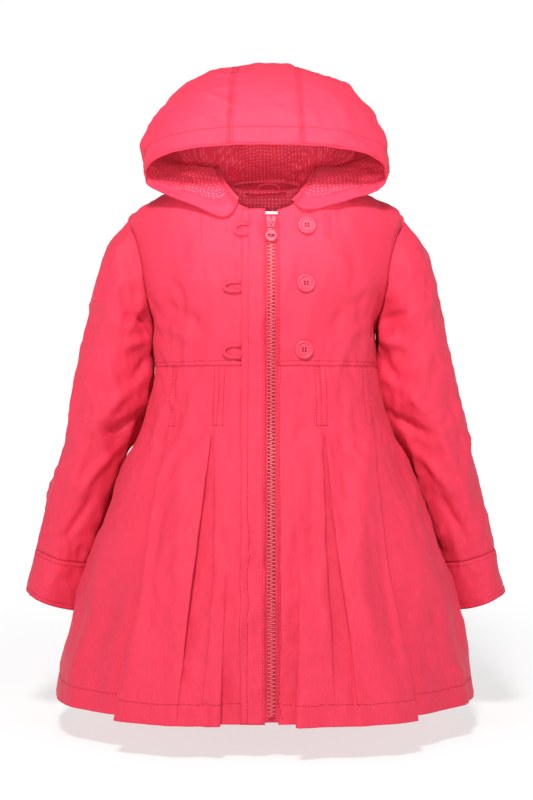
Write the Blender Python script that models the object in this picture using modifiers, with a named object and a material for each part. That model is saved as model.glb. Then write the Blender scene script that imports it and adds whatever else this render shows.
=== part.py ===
"""A child's hooded coat, filled out as if worn. Every cut and sewn piece is a closed wall of cloth.

Tables and functions are in millimetres, the meshes in metres. The origin lies midway between the high
points of the shoulders, +Z is up, the front faces -Y and the wearer's left is +X. Heights are given as a
drop below the origin.
"""

import math
from collections import namedtuple
from functools import lru_cache

import bmesh
import bpy
from mathutils import Matrix, Vector

MM = 0.001

# Cloth and seams
SHELL = 1.3
LINING = 1.0
CUFF = 1.8
SEAM_GAP = 0.3
LAYER_GAP = 0.45
SQUARE = 2.3

# Heights, as drops below the high shoulder points
SHOULDER_DROP = 46.0
ARMPIT_DROP = 168.0
WAIST_DROP = 216.0
RELEASE_DROP = 280.0
MIDDLE_DROP = 445.0
HEM_DROP = 567.0

# Neck hole in plan
NECK_SIDE = 55.0
NECK_FRONT = 76.0
NECK_BACK = 57.0
NECK_SQUARE = 3.2
HOOD_START = 22.3
HOOD_END = 163.0

# Front closing, as distances across from the middle
RIGHT_EDGE = -1.0
LEFT_EDGE = 12.0
FLY_EDGE = -25.0
ZIP_CENTRE = 5.3
CHAIN_HALF = 3.6
CHAIN_RISE = 0.8
TAPE_HALF = 13.0

# Slider and pull tab; the tab's hinge is HINGE_RISE above the cloth's face
SLIDER_DROP = 66.0
SLIDER_TALL = 13.0
SLIDER_TOP = 10.0
SLIDER_FOOT = 8.0
SLIDER_RISE = 2.3
BRIDGE_WIDE = 2.2
BRIDGE_TALL = 9.0
BRIDGE_WINDOW = 6.0
BRIDGE_RISE = 6.1
HINGE_RISE = 3.55
PULL_LENGTH = 22.5
PULL_RADIUS = 6.1
PULL_NECK = 3.5
PULL_THICK = 1.5
PULL_BAR = 0.8
PULL_SLOT_HALF = 2.5
PULL_SLOT_END = 10.3

# Buttons on the wearer's left front, and loops on the fly's edge, by distance across and drop
BUTTON_RADIUS = 9.85
BUTTON_PROFILE = [(0, 1.9), (0.62, 1.9), (0.72, 2.8), (0.9, 2.9), (1, 2.0), (1, 0.8), (0.9, 0), (0, 0)]
BUTTON_HOLE = 0.9
BUTTON_PITCH = 1.7
BUTTONS = {"top": (42.7, 69.2), "middle": (41.3, 130.3), "low": (39.1, 199.2)}
LOOP_RADIUS = 1.5
Loop = namedtuple("Loop", "start tip drop tall on_fly")
LOOPS = {
    "top": Loop(-18, -32, 74, 11, True),
    "middle": Loop(-25.6, -43, 134, 9.5, False),
    "low": Loop(-25.6, -43, 201, 12, False),
}
HANGER_RADIUS = 1.2
HANGER_HALF = 12
HANGER_TALL = 9
LABEL_HALF = 17.0
LABEL_DROPS = (43, 50, 57)

ARM_STEPS = 8
ARM_BITE = 23.0

Ring = namedtuple("Ring", "drop width front back")
TORSO = [
    Ring(0, 55, 46, 46),
    Ring(20, 95, 61, 60),
    Ring(46, 145, 74, 72),
    Ring(80, 146, 84, 84),
    Ring(120, 140, 92, 91),
    Ring(150, 129, 96, 94),
    Ring(168, 122, 98, 94),
    Ring(190, 123, 99, 93),
    Ring(216, 122, 99, 92),
    Ring(240, 125.5, 100, 93),
    Ring(265, 131, 102, 96),
    Ring(285, 139, 106, 100),
    Ring(317, 156, 116, 110),
    Ring(361, 172, 128, 122),
    Ring(425, 196, 146, 140),
    Ring(484, 211, 160, 154),
    Ring(526, 221, 168, 164),
    Ring(570, 228, 175, 173),
]

# A fold is a step in the cloth's level, met going outward from the middle: where it lies, how far it
# steps out and how wide the step is, at the pleats' release, half way down and at the hem.
Fold = namedtuple(
    "Fold",
    "at_release at_middle at_hem rise_release rise_middle rise_hem soft_release soft_middle soft_hem",
)
RIGHT_FOLDS = [
    Fold(38, 40, 46, 0, 2, 12, 6, 10, 14),
    Fold(52.5, 50.5, 64, -3, -9, 0, 3, 5, 8),
    Fold(56, 77, 84, 3, 11, 3, 3, 6, 16),
    Fold(105, 124, 143, -4, -15, -24, 4, 6, 7),
]
LEFT_FOLDS = [
    Fold(30, 33, 32, 0, 3, 14, 6, 6, 5),
    Fold(57.5, 60, 66, -3, -9, 0, 3, 5, 8),
    Fold(61, 79, 88, 3, 9, 2, 3, 6, 16),
    Fold(111, 127, 143, -4, -15, -24, 4, 6, 7),
]
BACK_FOLDS = [
    Fold(44, 50, 56, -3, -10, -4, 3, 6, 12),
    Fold(48, 68, 80, 3, 12, 16, 3, 6, 12),
    Fold(106, 126, 142, -4, -15, -22, 4, 6, 8),
]

SKIRT_DROPS = [WAIST_DROP, 245, RELEASE_DROP, 290, 306, 330, 365, 410, 460, 515, HEM_DROP]

# Ribs of the hood, named by where they leave the neck: degrees round it from the middle of the front.
Rib = namedtuple(
    "Rib", "round side_x side_y side_z top_y top_z square seam_x droop_right droop_left"
)
RIBS = [
    Rib(HOOD_START, 127, -66, -18, -112, 11, 2.6, 37.5, 16, 8),
    Rib(33, 131, -58, -4, -107, 46, 2.45, 36, 9, 5),
    Rib(45, 129, -46, 8, -88, 79, 2.3, 34.5, 3, 2),
    Rib(60, 126, -28, 18, -56, 103, 2.15, 33, 0, 0),
    Rib(90, 119, 2, 30, 2, 117.5, 2.0, 31, 0, 0),
    Rib(115, 108, 34, 32, 54, 105, 2.0, 30, 0, 0),
    Rib(138, 88, 64, 20, 92, 66, 2.0, 28, 0, 0),
    Rib(152, 62, 74, 4, 93, 26, 2.0, 26, 0, 0),
    Rib(HOOD_END, 26.4, 56.6, -14.2, 57.8, -14.4, 2.0, 22, 0, 0),
]
HOOD_SIDE_POINTS = 10
HOOD_MIDDLE_POINTS = 5
FACING_END = 34
LINING_END = 158
HOOD_COLUMNS = [HOOD_START, 28, 34, 40, 48, 58, 70, 81, 90, 103, 117, 131, 144, 153, LINING_END, HOOD_END]
WIDEST = 0.4

# Rings of a sleeve, from the armhole to the end of the cuff
Cuff = namedtuple("Cuff", "station outer_x outer_drop inner_x inner_drop depth centre_y")
SLEEVE = [
    Cuff(0, 146, 46, 122, 168, 40, 0),
    Cuff(1, 160, 55, 126.5, 172, 42, 0),
    Cuff(2, 172, 76, 128, 180, 44, 0),
    Cuff(3, 182.5, 110, 128.5, 194, 46, 1),
    Cuff(4, 190, 142, 129, 212, 47, 3),
    Cuff(5, 200, 187, 131, 240, 47, 5),
    Cuff(6, 211.5, 240, 142, 276, 46, 8),
    Cuff(7, 225, 297, 162, 317, 43, 10),
    Cuff(8, 240.5, 360, 184, 378, 39, 11),
    Cuff(9, 252, 411, 201.5, 428, 36.5, 12),
    Cuff(10, 263.5, 460, 216, 482, 36, 12),
]
SLEEVE_END = 10
CUFF_STATION = 9.06
SLEEVE_STATIONS = [0, 0.35, 0.8, 1.4, 2.1, 3, 4, 5, 6, 7, 8, CUFF_STATION]
CUFF_STATIONS = [CUFF_STATION, 9.5, SLEEVE_END]
ARM_BLEND = 2.6


def interpolate(rows, at):
    """The table's other columns at one place of its first column, on smooth curves through the rows."""
    keys = [row[0] for row in rows]
    at = min(max(at, keys[0]), keys[-1])
    i = max(k for k in range(len(keys) - 1) if keys[k] <= at)
    span = keys[i + 1] - keys[i]
    t = (at - keys[i]) / span

    def slope(j, column):
        low, high = max(j - 1, 0), min(j + 1, len(rows) - 1)
        return (rows[high][column] - rows[low][column]) / (keys[high] - keys[low])

    values = []
    for column in range(1, len(rows[0])):
        start, end = rows[i][column], rows[i + 1][column]
        values.append(
            start * (1 + 2 * t) * (1 - t) ** 2
            + slope(i, column) * span * t * (1 - t) ** 2
            + end * t * t * (3 - 2 * t)
            + slope(i + 1, column) * span * t * t * (t - 1)
        )
    return values


def ease(t):
    t = min(max(t, 0.0), 1.0)
    return t * t * (3 - 2 * t)


def spread(start, end, count):
    return [start + (end - start) * k / (count - 1) for k in range(count)]


# Torso, from which bodice and skirt are cut


def on_ring(angle, drop):
    """A point of the torso: angle 0 is the middle of the front, 90 the wearer's left side, 180 the back."""
    width, front, back = interpolate(TORSO, drop)
    sine, cosine = math.sin(math.radians(angle)), math.cos(math.radians(angle))
    x = math.copysign(width * abs(sine) ** (2 / SQUARE), sine)
    depth = -front if cosine > 0 else back
    return Vector((x, depth * abs(cosine) ** (2 / SQUARE), -drop))


def angle_at(x, drop, back=False):
    width = interpolate(TORSO, drop)[0]
    angle = math.degrees(math.asin(min(1.0, (abs(x) / width) ** (SQUARE / 2))))
    return math.copysign(180 - angle if back else angle, x)


def outward(angle, drop):
    """The level direction square to the ring."""
    width, front, back = interpolate(TORSO, drop)
    point = on_ring(angle, drop)
    depth = front if point.y < 0 else back
    power = SQUARE - 1
    across = math.copysign((abs(point.x) / width) ** power / width, point.x)
    along = math.copysign((abs(point.y) / depth) ** power / depth, point.y)
    return Vector((across, along, 0)).normalized()


def fold_at(fold, drop):
    rows = [
        (RELEASE_DROP, fold.at_release, fold.rise_release, fold.soft_release),
        (MIDDLE_DROP, fold.at_middle, fold.rise_middle, fold.soft_middle),
        (HEM_DROP, fold.at_hem, fold.rise_hem, fold.soft_hem),
    ]
    return interpolate(rows, drop)


def folds_of(angle):
    if abs(angle) > 90:
        return BACK_FOLDS
    return LEFT_FOLDS if angle > 0 else RIGHT_FOLDS


def skirt(angle, drop):
    """The pleated skirt: the ring, stepped in and out by its folds."""
    base = on_ring(angle, drop)
    level, reach = 0.0, 0.0
    for fold in folds_of(angle):
        place, rise, soft = fold_at(fold, drop)
        level += rise * ease((abs(base.x) - place) / soft + 0.5)
        reach = place + soft / 2
    width = interpolate(TORSO, drop)[0]
    fade = 1 - ease((abs(base.x) - reach) / (width - reach))
    opened = ease((drop - RELEASE_DROP + 4) / 22)
    return base + outward(angle, drop) * level * fade * opened


def facing_out(surface, a, b):
    """The outward normal of a surface whose first parameter runs across and whose second runs down."""
    across = surface(a + 0.4, b) - surface(a - 0.4, b)
    down = surface(a, b + 0.6) - surface(a, b - 0.6)
    return down.cross(across).normalized()


def sample(surface, places, offset=0.0):
    """Points of a surface, moved out by an offset, and the normals there."""
    normals = [[facing_out(surface, a, b) for a, b in row] for row in places]
    points = [
        [surface(a, b) + n * offset for (a, b), n in zip(row, facing)]
        for row, facing in zip(places, normals)
    ]
    return points, normals


# Making solids


def make_material(name, colour, roughness, metallic=0.0):
    material = bpy.data.materials.new(name)
    material.use_nodes = True
    shader = material.node_tree.nodes["Principled BSDF"]
    shader.inputs["Base Color"].default_value = (*colour, 1)
    shader.inputs["Roughness"].default_value = roughness
    shader.inputs["Metallic"].default_value = metallic
    material.diffuse_color = (*colour, 1)
    return material


def add_mesh(name, shape, look, place=None):
    """Ends a bmesh as an object of the coat, with its own material."""
    mesh = bpy.data.meshes.new(name)
    shape.to_mesh(mesh)
    shape.free()
    return add_object(name, mesh, look, place)


def add_object(name, data, look, place=None):
    item = bpy.data.objects.new(name, data)
    item.matrix_world = place or Matrix.Identity(4)
    data.materials.append(make_material(name, *LOOKS[look]))
    COAT.objects.link(item)
    return item


def pull_in(skin, edges):
    """Moves the named edges of a skin half a seam gap into it."""
    half = SEAM_GAP / 2
    pairs = []
    last_row, last_column = len(skin) - 1, len(skin[0]) - 1
    for column in range(last_column + 1):
        if "top" in edges:
            pairs.append((0, column, 1, column))
        if "bottom" in edges:
            pairs.append((last_row, column, last_row - 1, column))
    for row in range(last_row + 1):
        if "left" in edges:
            pairs.append((row, 0, row, 1))
        if "right" in edges:
            pairs.append((row, last_column, row, last_column - 1))
    moved = [
        (r, c, (skin[inner_r][inner_c] - skin[r][c]).normalized() * half)
        for r, c, inner_r, inner_c in pairs
    ]
    for r, c, shift in moved:
        skin[r][c] = skin[r][c] + shift


def wall(name, points, normals, thickness, look, edges="", closed=False):
    """A piece of cloth: its outer skin, the same skin moved in by the thickness, and the rims."""
    inner = [[p - n * thickness for p, n in zip(*rows)] for rows in zip(points, normals)]
    outer = [list(row) for row in points]
    pull_in(outer, edges)
    pull_in(inner, edges)
    shape = bmesh.new()
    skins = [
        [[shape.verts.new(point * MM) for point in row] for row in skin]
        for skin in (outer, inner)
    ]
    rows, columns = len(points), len(points[0])
    spans = columns if closed else columns - 1
    for r in range(rows - 1):
        for c in range(spans):
            d = (c + 1) % columns
            front, back = skins
            shape.faces.new((front[r][c], front[r + 1][c], front[r + 1][d], front[r][d]))
            shape.faces.new((back[r][c], back[r][d], back[r + 1][d], back[r + 1][c]))
    for c in range(spans):
        d = (c + 1) % columns
        for r in (0, rows - 1):
            shape.faces.new((skins[0][r][c], skins[0][r][d], skins[1][r][d], skins[1][r][c]))
    if not closed:
        for r in range(rows - 1):
            for c in (0, columns - 1):
                shape.faces.new((skins[0][r][c], skins[0][r + 1][c], skins[1][r + 1][c], skins[1][r][c]))
    bmesh.ops.recalc_face_normals(shape, faces=shape.faces)
    return add_mesh(name, shape, look)


# Neck and armholes


@lru_cache(maxsize=None)
def neck_place(turn):
    """Where the neck hole cuts the torso, as an angle and a drop; turn is degrees round the hole."""
    sine, cosine = math.sin(math.radians(turn)), math.cos(math.radians(turn))
    x = NECK_SIDE * abs(sine) ** (2 / NECK_SQUARE)
    depth = NECK_FRONT if cosine > 0 else NECK_BACK
    y = depth * abs(cosine) ** (2 / NECK_SQUARE)
    low, high = 0.0, 70.0
    for _ in range(40):
        drop = (low + high) / 2
        width, front, back = interpolate(TORSO, drop)
        reach = (x / width) ** SQUARE + (y / (front if cosine > 0 else back)) ** SQUARE
        low, high = (drop, high) if reach > 1 else (low, drop)
    return angle_at(x, drop, back=cosine <= 0), drop


def neck_turn(x, back=False):
    turn = math.degrees(math.asin((abs(x) / NECK_SIDE) ** (NECK_SQUARE / 2)))
    return 180 - turn if back else turn


def armhole_place(step, back=False):
    """Where the armhole lies; steps run from the shoulder to the armpit."""
    part = (1 - math.cos(math.pi * step / ARM_STEPS)) / 2
    bite = ARM_BITE * math.sin(math.pi * part)
    drop = SHOULDER_DROP + (ARMPIT_DROP - SHOULDER_DROP) * part
    return (90 + bite if back else 90 - bite), drop


def patch(top, bottom, left, right):
    """Places inside four edges, blended from them; the edges are lists of places."""
    columns, rows = len(top) - 1, len(left) - 1
    grid = []
    for r in range(rows + 1):
        v = r / rows
        row = []
        for c in range(columns + 1):
            u = c / columns
            place = []
            for k in range(2):
                sides = (1 - u) * left[r][k] + u * right[r][k]
                ends = (1 - v) * top[c][k] + v * bottom[c][k]
                corners = (1 - v) * ((1 - u) * top[0][k] + u * top[-1][k]) + v * (
                    (1 - u) * bottom[0][k] + u * bottom[-1][k]
                )
                place.append(sides + ends - corners)
            row.append(tuple(place))
        grid.append(row)
    return grid


def bodice_places(edge_x, back):
    """Half of the front or back, from its middle edge to the armhole and side seam."""
    start = 180.0 if back else neck_turn(edge_x)
    finish = 90.0
    neck = [neck_place(turn) for turn in spread(start, finish, 9)]
    shoulder = [(90.0, drop) for drop in spread(0.0, SHOULDER_DROP, 5)[1:]]
    top = neck + shoulder
    side = [armhole_place(step, back) for step in range(ARM_STEPS + 1)]
    side += [(90.0, drop) for drop in spread(ARMPIT_DROP, WAIST_DROP, 3)[1:]]
    drops = spread(neck[0][1], WAIST_DROP, len(side))
    middle = [(180.0 if back else angle_at(edge_x, drop), drop) for drop in drops]
    waist = [(angle, WAIST_DROP) for angle in spread(middle[-1][0], 90.0, len(top))]
    return patch(top, waist, middle, side)


def mirrored(places):
    return [[(-angle, drop) for angle, drop in row] for row in places]


def both_halves(places):
    """A back panel in one piece, from the wearer's left side round to the right."""
    return [row[::-1] + [(360 - angle, drop) for angle, drop in row[1:]] for row in places]


def build_bodice():
    left = bodice_places(LEFT_EDGE, back=False)
    points, normals = sample(on_ring, left)
    wall("bodice_front_left", points, normals, SHELL, "shell", ("right", "bottom", "top"))
    right = mirrored(bodice_places(-RIGHT_EDGE, back=False))
    points, normals = sample(on_ring, right)
    wall("bodice_front_right", points, normals, SHELL, "shell", ("right", "bottom", "top"))
    back = both_halves(bodice_places(0.0, back=True))
    points, normals = sample(on_ring, back)
    wall("bodice_back", points, normals, SHELL, "shell", ("left", "right", "bottom", "top"))


# Skirt


def skirt_columns(sign, drop, edge_x, back):
    """Angles of a half skirt's columns at one height: close together on each fold's step."""
    folds = BACK_FOLDS if back else (LEFT_FOLDS if sign > 0 else RIGHT_FOLDS)
    width = interpolate(TORSO, drop)[0]
    held = min(1.0, width / interpolate(TORSO, RELEASE_DROP)[0])
    distances = [edge_x]
    for fold in folds:
        place, _, soft = fold_at(fold, drop)
        start, end = (place - soft / 2) * held, (place + soft / 2) * held
        start = max(start, distances[-1] + 2.0)
        distances.append((distances[-1] + start) / 2)
        distances += spread(start, end, 3)
    angles = [angle_at(x, drop, back) for x in distances]
    return angles + spread(angles[-1], 90.0, 6)[1:]


def skirt_places(sign, edge_x, back=False):
    grid = []
    for drop in SKIRT_DROPS:
        grid.append([(angle, drop) for angle in skirt_columns(sign, drop, edge_x, back)])
    return grid


def build_skirt():
    points, normals = sample(skirt, skirt_places(1, LEFT_EDGE))
    wall("skirt_front_left", points, normals, SHELL, "shell", ("right", "top"))
    points, normals = sample(skirt, mirrored(skirt_places(-1, -RIGHT_EDGE)))
    wall("skirt_front_right", points, normals, SHELL, "shell", ("right", "top"))
    half = skirt_places(1, 0.0, back=True)
    points, normals = sample(whole_back, both_halves(half))
    wall("skirt_back", points, normals, SHELL, "shell", ("left", "right", "top"))


def whole_back(angle, drop):
    """The skirt beyond 180 degrees, where its other half goes on."""
    return skirt(angle if angle <= 180 else angle - 360, drop)


# Sleeves


def armhole_edge(turn):
    """The armhole as a ring: turn 0 is the shoulder, 90 the front, 180 the armpit, 270 the back."""
    turn %= 360
    back = turn > 180
    step = (360 - turn if back else turn) / 180 * ARM_STEPS
    return armhole_place(step, back)


@lru_cache(maxsize=None)
def armhole_foot(turn):
    """Where the sleeve starts: a gap beyond the bodice's edge and a gap above its face."""
    place = armhole_edge(turn)
    facing = facing_out(on_ring, *place)
    along = on_ring(*armhole_edge(turn + 1)) - on_ring(*armhole_edge(turn - 1))
    beyond = facing.cross(along).normalized()
    return on_ring(*place) + facing * LAYER_GAP + beyond * SEAM_GAP


def sleeve(turn, station):
    outer_x, outer_drop, inner_x, inner_drop, depth, centre_y = interpolate(SLEEVE, station)
    outer, inner = Vector((outer_x, 0, -outer_drop)), Vector((inner_x, 0, -inner_drop))
    cosine, sine = math.cos(math.radians(turn)), math.sin(math.radians(turn))
    ring = (outer + inner) / 2 + (outer - inner) / 2 * cosine
    ring.y = centre_y - depth * sine
    share = ease(station / ARM_BLEND)
    return armhole_foot(turn % 360) * (1 - share) + ring * share


def tube(stations):
    """Points and normals of a length of the sleeve, a column at each point of the armhole."""
    turns = spread(0, 360 - 180 / ARM_STEPS, 2 * ARM_STEPS)
    points, normals = [], []
    for station in stations:
        points.append([sleeve(turn, station) for turn in turns])
        row = []
        for turn in turns:
            across = sleeve(turn + 1, station) - sleeve(turn - 1, station)
            down = sleeve(turn, min(station + 0.02, SLEEVE_END)) - sleeve(turn, max(station - 0.02, 0))
            row.append(across.cross(down).normalized())
        normals.append(row)
    return points, normals


def flipped(grid):
    return [[Vector((-p.x, p.y, p.z)) for p in row] for row in grid]


def build_sleeves():
    arm = tube(SLEEVE_STATIONS)
    cuff = tube(CUFF_STATIONS)
    for side, turn_over in (("left", lambda grid: grid), ("right", flipped)):
        points, normals = (turn_over(grid) for grid in arm)
        wall(f"sleeve_{side}", points, normals, SHELL, "shell", ("bottom",), closed=True)
        points, normals = (turn_over(grid) for grid in cuff)
        wall(f"cuff_{side}", points, normals, CUFF, "shell", ("top",), closed=True)


# Hood


@lru_cache(maxsize=None)
def hood_foot(turn):
    """Where a rib leaves the neck: just above the bodice's edge."""
    angle, drop = neck_place(turn)
    return on_ring(angle, drop) + facing_out(on_ring, angle, drop) * (LAYER_GAP + 0.25)


def hood(turn, reach):
    """A point of the hood: reach 0 is the neck's left, 1 the middle of the top, 2 the neck's right."""
    sign = 1 if reach <= 1 else -1
    reach = min(reach, 2 - reach)
    side_x, side_y, side_z, top_y, top_z, square, _, droop_right, droop_left = interpolate(RIBS, turn)
    foot = hood_foot(turn)
    if reach < WIDEST:
        t = reach / WIDEST * math.pi / 2
        x = foot.x + (side_x - foot.x) * math.sin(t)
        y = foot.y + (side_y - foot.y) * (1 - math.cos(t))
        z = foot.z + (side_z - foot.z) * (1 - math.cos(t))
        hang = (droop_left if sign > 0 else droop_right) * t / 0.16 * math.exp(1 - t / 0.16)
        return Vector((sign * x, y - 0.45 * hang, z - hang))
    t = (reach - WIDEST) / (1 - WIDEST) * math.pi / 2
    across, up = abs(math.cos(t)) ** (2 / square), math.sin(t) ** (2 / square)
    y = side_y + (top_y - side_y) * up
    z = side_z + (top_z - side_z) * up
    return Vector((sign * side_x * across, y, z))


def hood_seam(turn):
    """How far up a rib the seam of the middle panel lies."""
    values = interpolate(RIBS, turn)
    side_x, square, seam_x = values[0], values[5], values[6]
    t = math.acos((seam_x / side_x) ** (square / 2))
    return WIDEST + (1 - WIDEST) * t / (math.pi / 2)


def hood_normal(turn, reach):
    low, high = max(turn - 0.4, HOOD_START), min(turn + 0.4, HOOD_END)
    along = hood(high, reach) - hood(low, reach)
    up = hood(turn, min(reach + 0.004, 2.0)) - hood(turn, max(reach - 0.004, 0.0))
    return along.cross(up).normalized()


def hood_grid(turns, reaches, offset=0.0):
    """Rows run from the brim to the back of the neck, and columns along each rib."""
    points, normals = [], []
    for turn in turns:
        row = reaches(turn)
        facing = [hood_normal(turn, reach) for reach in row]
        normals.append(facing)
        points.append([hood(turn, r) + n * offset for r, n in zip(row, facing)])
    return points, normals


def whole_rib(turn):
    """Places along a rib from one side of the neck to the other, at the panels' own points."""
    side = spread(0, hood_seam(turn), HOOD_SIDE_POINTS)
    middle = spread(hood_seam(turn), 2 - hood_seam(turn), HOOD_MIDDLE_POINTS)
    return side + middle[1:-1] + [2 - reach for reach in side[::-1]]


def build_hood():
    last = HOOD_SIDE_POINTS + HOOD_MIDDLE_POINTS - 2
    panels = {
        "hood_side_left": (0, HOOD_SIDE_POINTS - 1, ("right",)),
        "hood_centre": (HOOD_SIDE_POINTS - 1, last, ("left", "right")),
        "hood_side_right": (last, last + HOOD_SIDE_POINTS - 1, ("left",)),
    }
    points, normals = hood_grid(HOOD_COLUMNS, whole_rib)
    for name, (first, end, edges) in panels.items():
        cloth = [row[first : end + 1] for row in points]
        facing = [row[first : end + 1] for row in normals]
        wall(name, cloth, facing, SHELL, "shell", edges)
    inside = -(SHELL + LAYER_GAP)
    turns = [turn for turn in HOOD_COLUMNS if turn <= FACING_END]
    points, normals = hood_grid(turns, whole_rib, offset=inside)
    wall("hood_facing", points, normals, LINING, "shell", ("bottom",))
    turns = [turn for turn in HOOD_COLUMNS if FACING_END <= turn <= LINING_END]
    points, normals = hood_grid(turns, whole_rib, offset=inside)
    wall("hood_lining", points, normals, LINING, "lining", ("top",))


# Zip, fly and what is sewn on the fronts


def front_strip(across, first_drop, last_drop):
    """Places of a strip down the front, at the fronts' own heights."""
    neck = neck_place(neck_turn(RIGHT_EDGE))[1]
    bodice = spread(neck, WAIST_DROP, ARM_STEPS + 3)
    drops = [d for d in bodice[:-1] + SKIRT_DROPS if first_drop + 1 < d < last_drop - 1]
    drops = [first_drop, *drops, last_drop]
    return [[(angle_at(x, drop), drop) for x in across] for drop in drops]


def add_strip(name, across, first_drop, last_drop, level, thickness, look):
    points, normals = sample(skirt, front_strip(across, first_drop, last_drop), offset=level)
    wall(name, points, normals, thickness, look)


def build_closing():
    neck = neck_place(neck_turn(RIGHT_EDGE))[1]
    across = spread(FLY_EDGE, RIGHT_EDGE, 4)
    add_strip("fly_strip", across, neck, HEM_DROP, LAYER_GAP + SHELL, SHELL, "shell")
    across = spread(ZIP_CENTRE - TAPE_HALF, ZIP_CENTRE + TAPE_HALF, 6)
    tape = -(SHELL + LAYER_GAP)
    add_strip("zip_tape", across, neck + 2, HEM_DROP - 2, tape, LINING, "zip")
    across = spread(ZIP_CENTRE - CHAIN_HALF, ZIP_CENTRE + CHAIN_HALF, 3)
    start = SLIDER_DROP + SLIDER_TALL / 2 + 0.7
    thickness = CHAIN_RISE - tape - SEAM_GAP
    add_strip("zip_chain", across, start, HEM_DROP - 3, CHAIN_RISE, thickness, "zip")


def seat(x, drop, level=0.0):
    """A frame on the front's face: X across, Y up the cloth and Z out of it, in metres."""
    angle = angle_at(x, drop)
    facing = facing_out(skirt, angle, drop)
    origin = (skirt(angle, drop) + facing * level) * MM
    across = (skirt(angle + 0.5, drop) - skirt(angle - 0.5, drop)).normalized()
    up = facing.cross(across)
    frame = Matrix((across, up, facing)).transposed().to_4x4()
    frame.translation = origin
    return frame


def block(size, centre):
    """A bmesh box in millimetres, made in metres."""
    shape = bmesh.new()
    place = Matrix.Translation(Vector(centre) * MM) @ Matrix.Diagonal((*(Vector(size) * MM), 1))
    bmesh.ops.create_cube(shape, size=1.0, matrix=place)
    return shape


def add_cutter(name, shape, place):
    mesh = bpy.data.meshes.new(name)
    shape.to_mesh(mesh)
    shape.free()
    cutter = bpy.data.objects.new(name, mesh)
    cutter.matrix_world = place
    cutter.hide_render = True
    cutter.display_type = "WIRE"
    CUTTERS.objects.link(cutter)
    return cutter


def cut(item, cutter, operation="DIFFERENCE"):
    boolean = item.modifiers.new(operation.lower(), "BOOLEAN")
    boolean.operation = operation
    boolean.object = cutter


def build_slider():
    place = seat(ZIP_CENTRE, SLIDER_DROP)
    shape = block((SLIDER_TOP, SLIDER_TALL, SLIDER_RISE + SHELL), (0, 0, (SLIDER_RISE - SHELL) / 2))
    for corner in shape.verts:
        if corner.co.y < 0:
            corner.co.x *= SLIDER_FOOT / SLIDER_TOP
    bmesh.ops.bevel(shape, geom=shape.edges, offset=0.7 * MM, segments=1, affect="EDGES")
    slider = add_mesh("zip_slider", shape, "zip", place)
    low = SLIDER_RISE - 0.4
    tall = BRIDGE_RISE - low
    bridge = block((BRIDGE_WIDE, BRIDGE_TALL, tall), (0, 0, low + tall / 2))
    cut(slider, add_cutter("bridge", bridge, place), "UNION")
    window_low, window_high = SLIDER_RISE - 0.05, BRIDGE_RISE - 1.2
    tall = window_high - window_low
    window = block((BRIDGE_WIDE * 2, BRIDGE_WINDOW, tall), (0, 0, window_low + tall / 2))
    cut(slider, add_cutter("bridge_window", window, place))


def heart(centre_y, half_wide):
    """An outline with two lobes up and a point down."""
    outline = []
    for step in range(16):
        t = 2 * math.pi * step / 16
        x = math.sin(t) ** 3
        y = (13 * math.cos(t) - 5 * math.cos(2 * t) - 2 * math.cos(3 * t) - math.cos(4 * t)) / 16
        outline.append((x * half_wide, centre_y + y * half_wide * 0.8))
    return outline


def build_pull_tab():
    """A flat tab whose top bar turns under the slider's bridge."""
    centre_y = PULL_RADIUS - PULL_LENGTH
    outline = [(-PULL_NECK, PULL_BAR), (PULL_NECK, PULL_BAR)]
    start = math.asin((PULL_NECK - 0.3) / PULL_RADIUS)
    for step in range(19):
        turn = start + (2 * math.pi - 2 * start) * step / 18
        outline.append((PULL_RADIUS * math.sin(turn), centre_y + PULL_RADIUS * math.cos(turn)))
    half = PULL_SLOT_HALF
    slot = [(-half, -PULL_BAR), (half, -PULL_BAR), (half, -PULL_SLOT_END + 1.5)]
    slot += [(half * 0.5, -PULL_SLOT_END), (-half * 0.5, -PULL_SLOT_END), (-half, -PULL_SLOT_END + 1.5)]
    curve = bpy.data.curves.new("pull_tab", "CURVE")
    curve.dimensions = "2D"
    curve.fill_mode = "BOTH"
    curve.extrude = PULL_THICK / 2 * MM
    for points in (outline, slot, heart(centre_y - 0.2, 3.9)):
        spline = curve.splines.new("POLY")
        spline.points.add(len(points) - 1)
        for point, (x, y) in zip(spline.points, points):
            point.co = (x * MM, y * MM, 0, 1)
        spline.use_cyclic_u = True
    add_object("pull_tab", curve, "zip", seat(ZIP_CENTRE, SLIDER_DROP, HINGE_RISE))


def build_buttons():
    profile = [(share * BUTTON_RADIUS * MM, 0, level * MM) for share, level in BUTTON_PROFILE]
    for place_name, (x, drop) in BUTTONS.items():
        place = seat(x, drop, LAYER_GAP)
        shape = bmesh.new()
        corners = [shape.verts.new(point) for point in profile]
        for first, second in zip(corners, corners[1:]):
            shape.edges.new((first, second))
        button = add_mesh(f"button_{place_name}", shape, "button", place)
        turned = button.modifiers.new("turned", "SCREW")
        turned.steps = turned.render_steps = 18
        turned.use_merge_vertices = True
        turned.merge_threshold = 0.00001
        holes = bmesh.new()
        for side in range(4):
            turn = Matrix.Rotation(math.pi / 2 * side + math.pi / 4, 4, "Z")
            at = turn @ Matrix.Translation((BUTTON_PITCH * MM, 0, 0))
            bmesh.ops.create_cone(
                holes, cap_ends=True, segments=6, radius1=BUTTON_HOLE * MM,
                radius2=BUTTON_HOLE * MM, depth=10 * MM, matrix=at,
            )
        cut(button, add_cutter(f"holes_{place_name}", holes, place))


def add_cord(name, points, radius, look):
    """A round sewn loop of cloth along points given in millimetres."""
    curve = bpy.data.curves.new(name, "CURVE")
    curve.dimensions = "3D"
    curve.bevel_depth = radius * MM
    curve.bevel_resolution = 2
    curve.use_fill_caps = True
    spline = curve.splines.new("POLY")
    spline.points.add(len(points) - 1)
    for point, place in zip(spline.points, points):
        point.co = (*(place * MM), 1)
    return add_object(name, curve, look)


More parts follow.
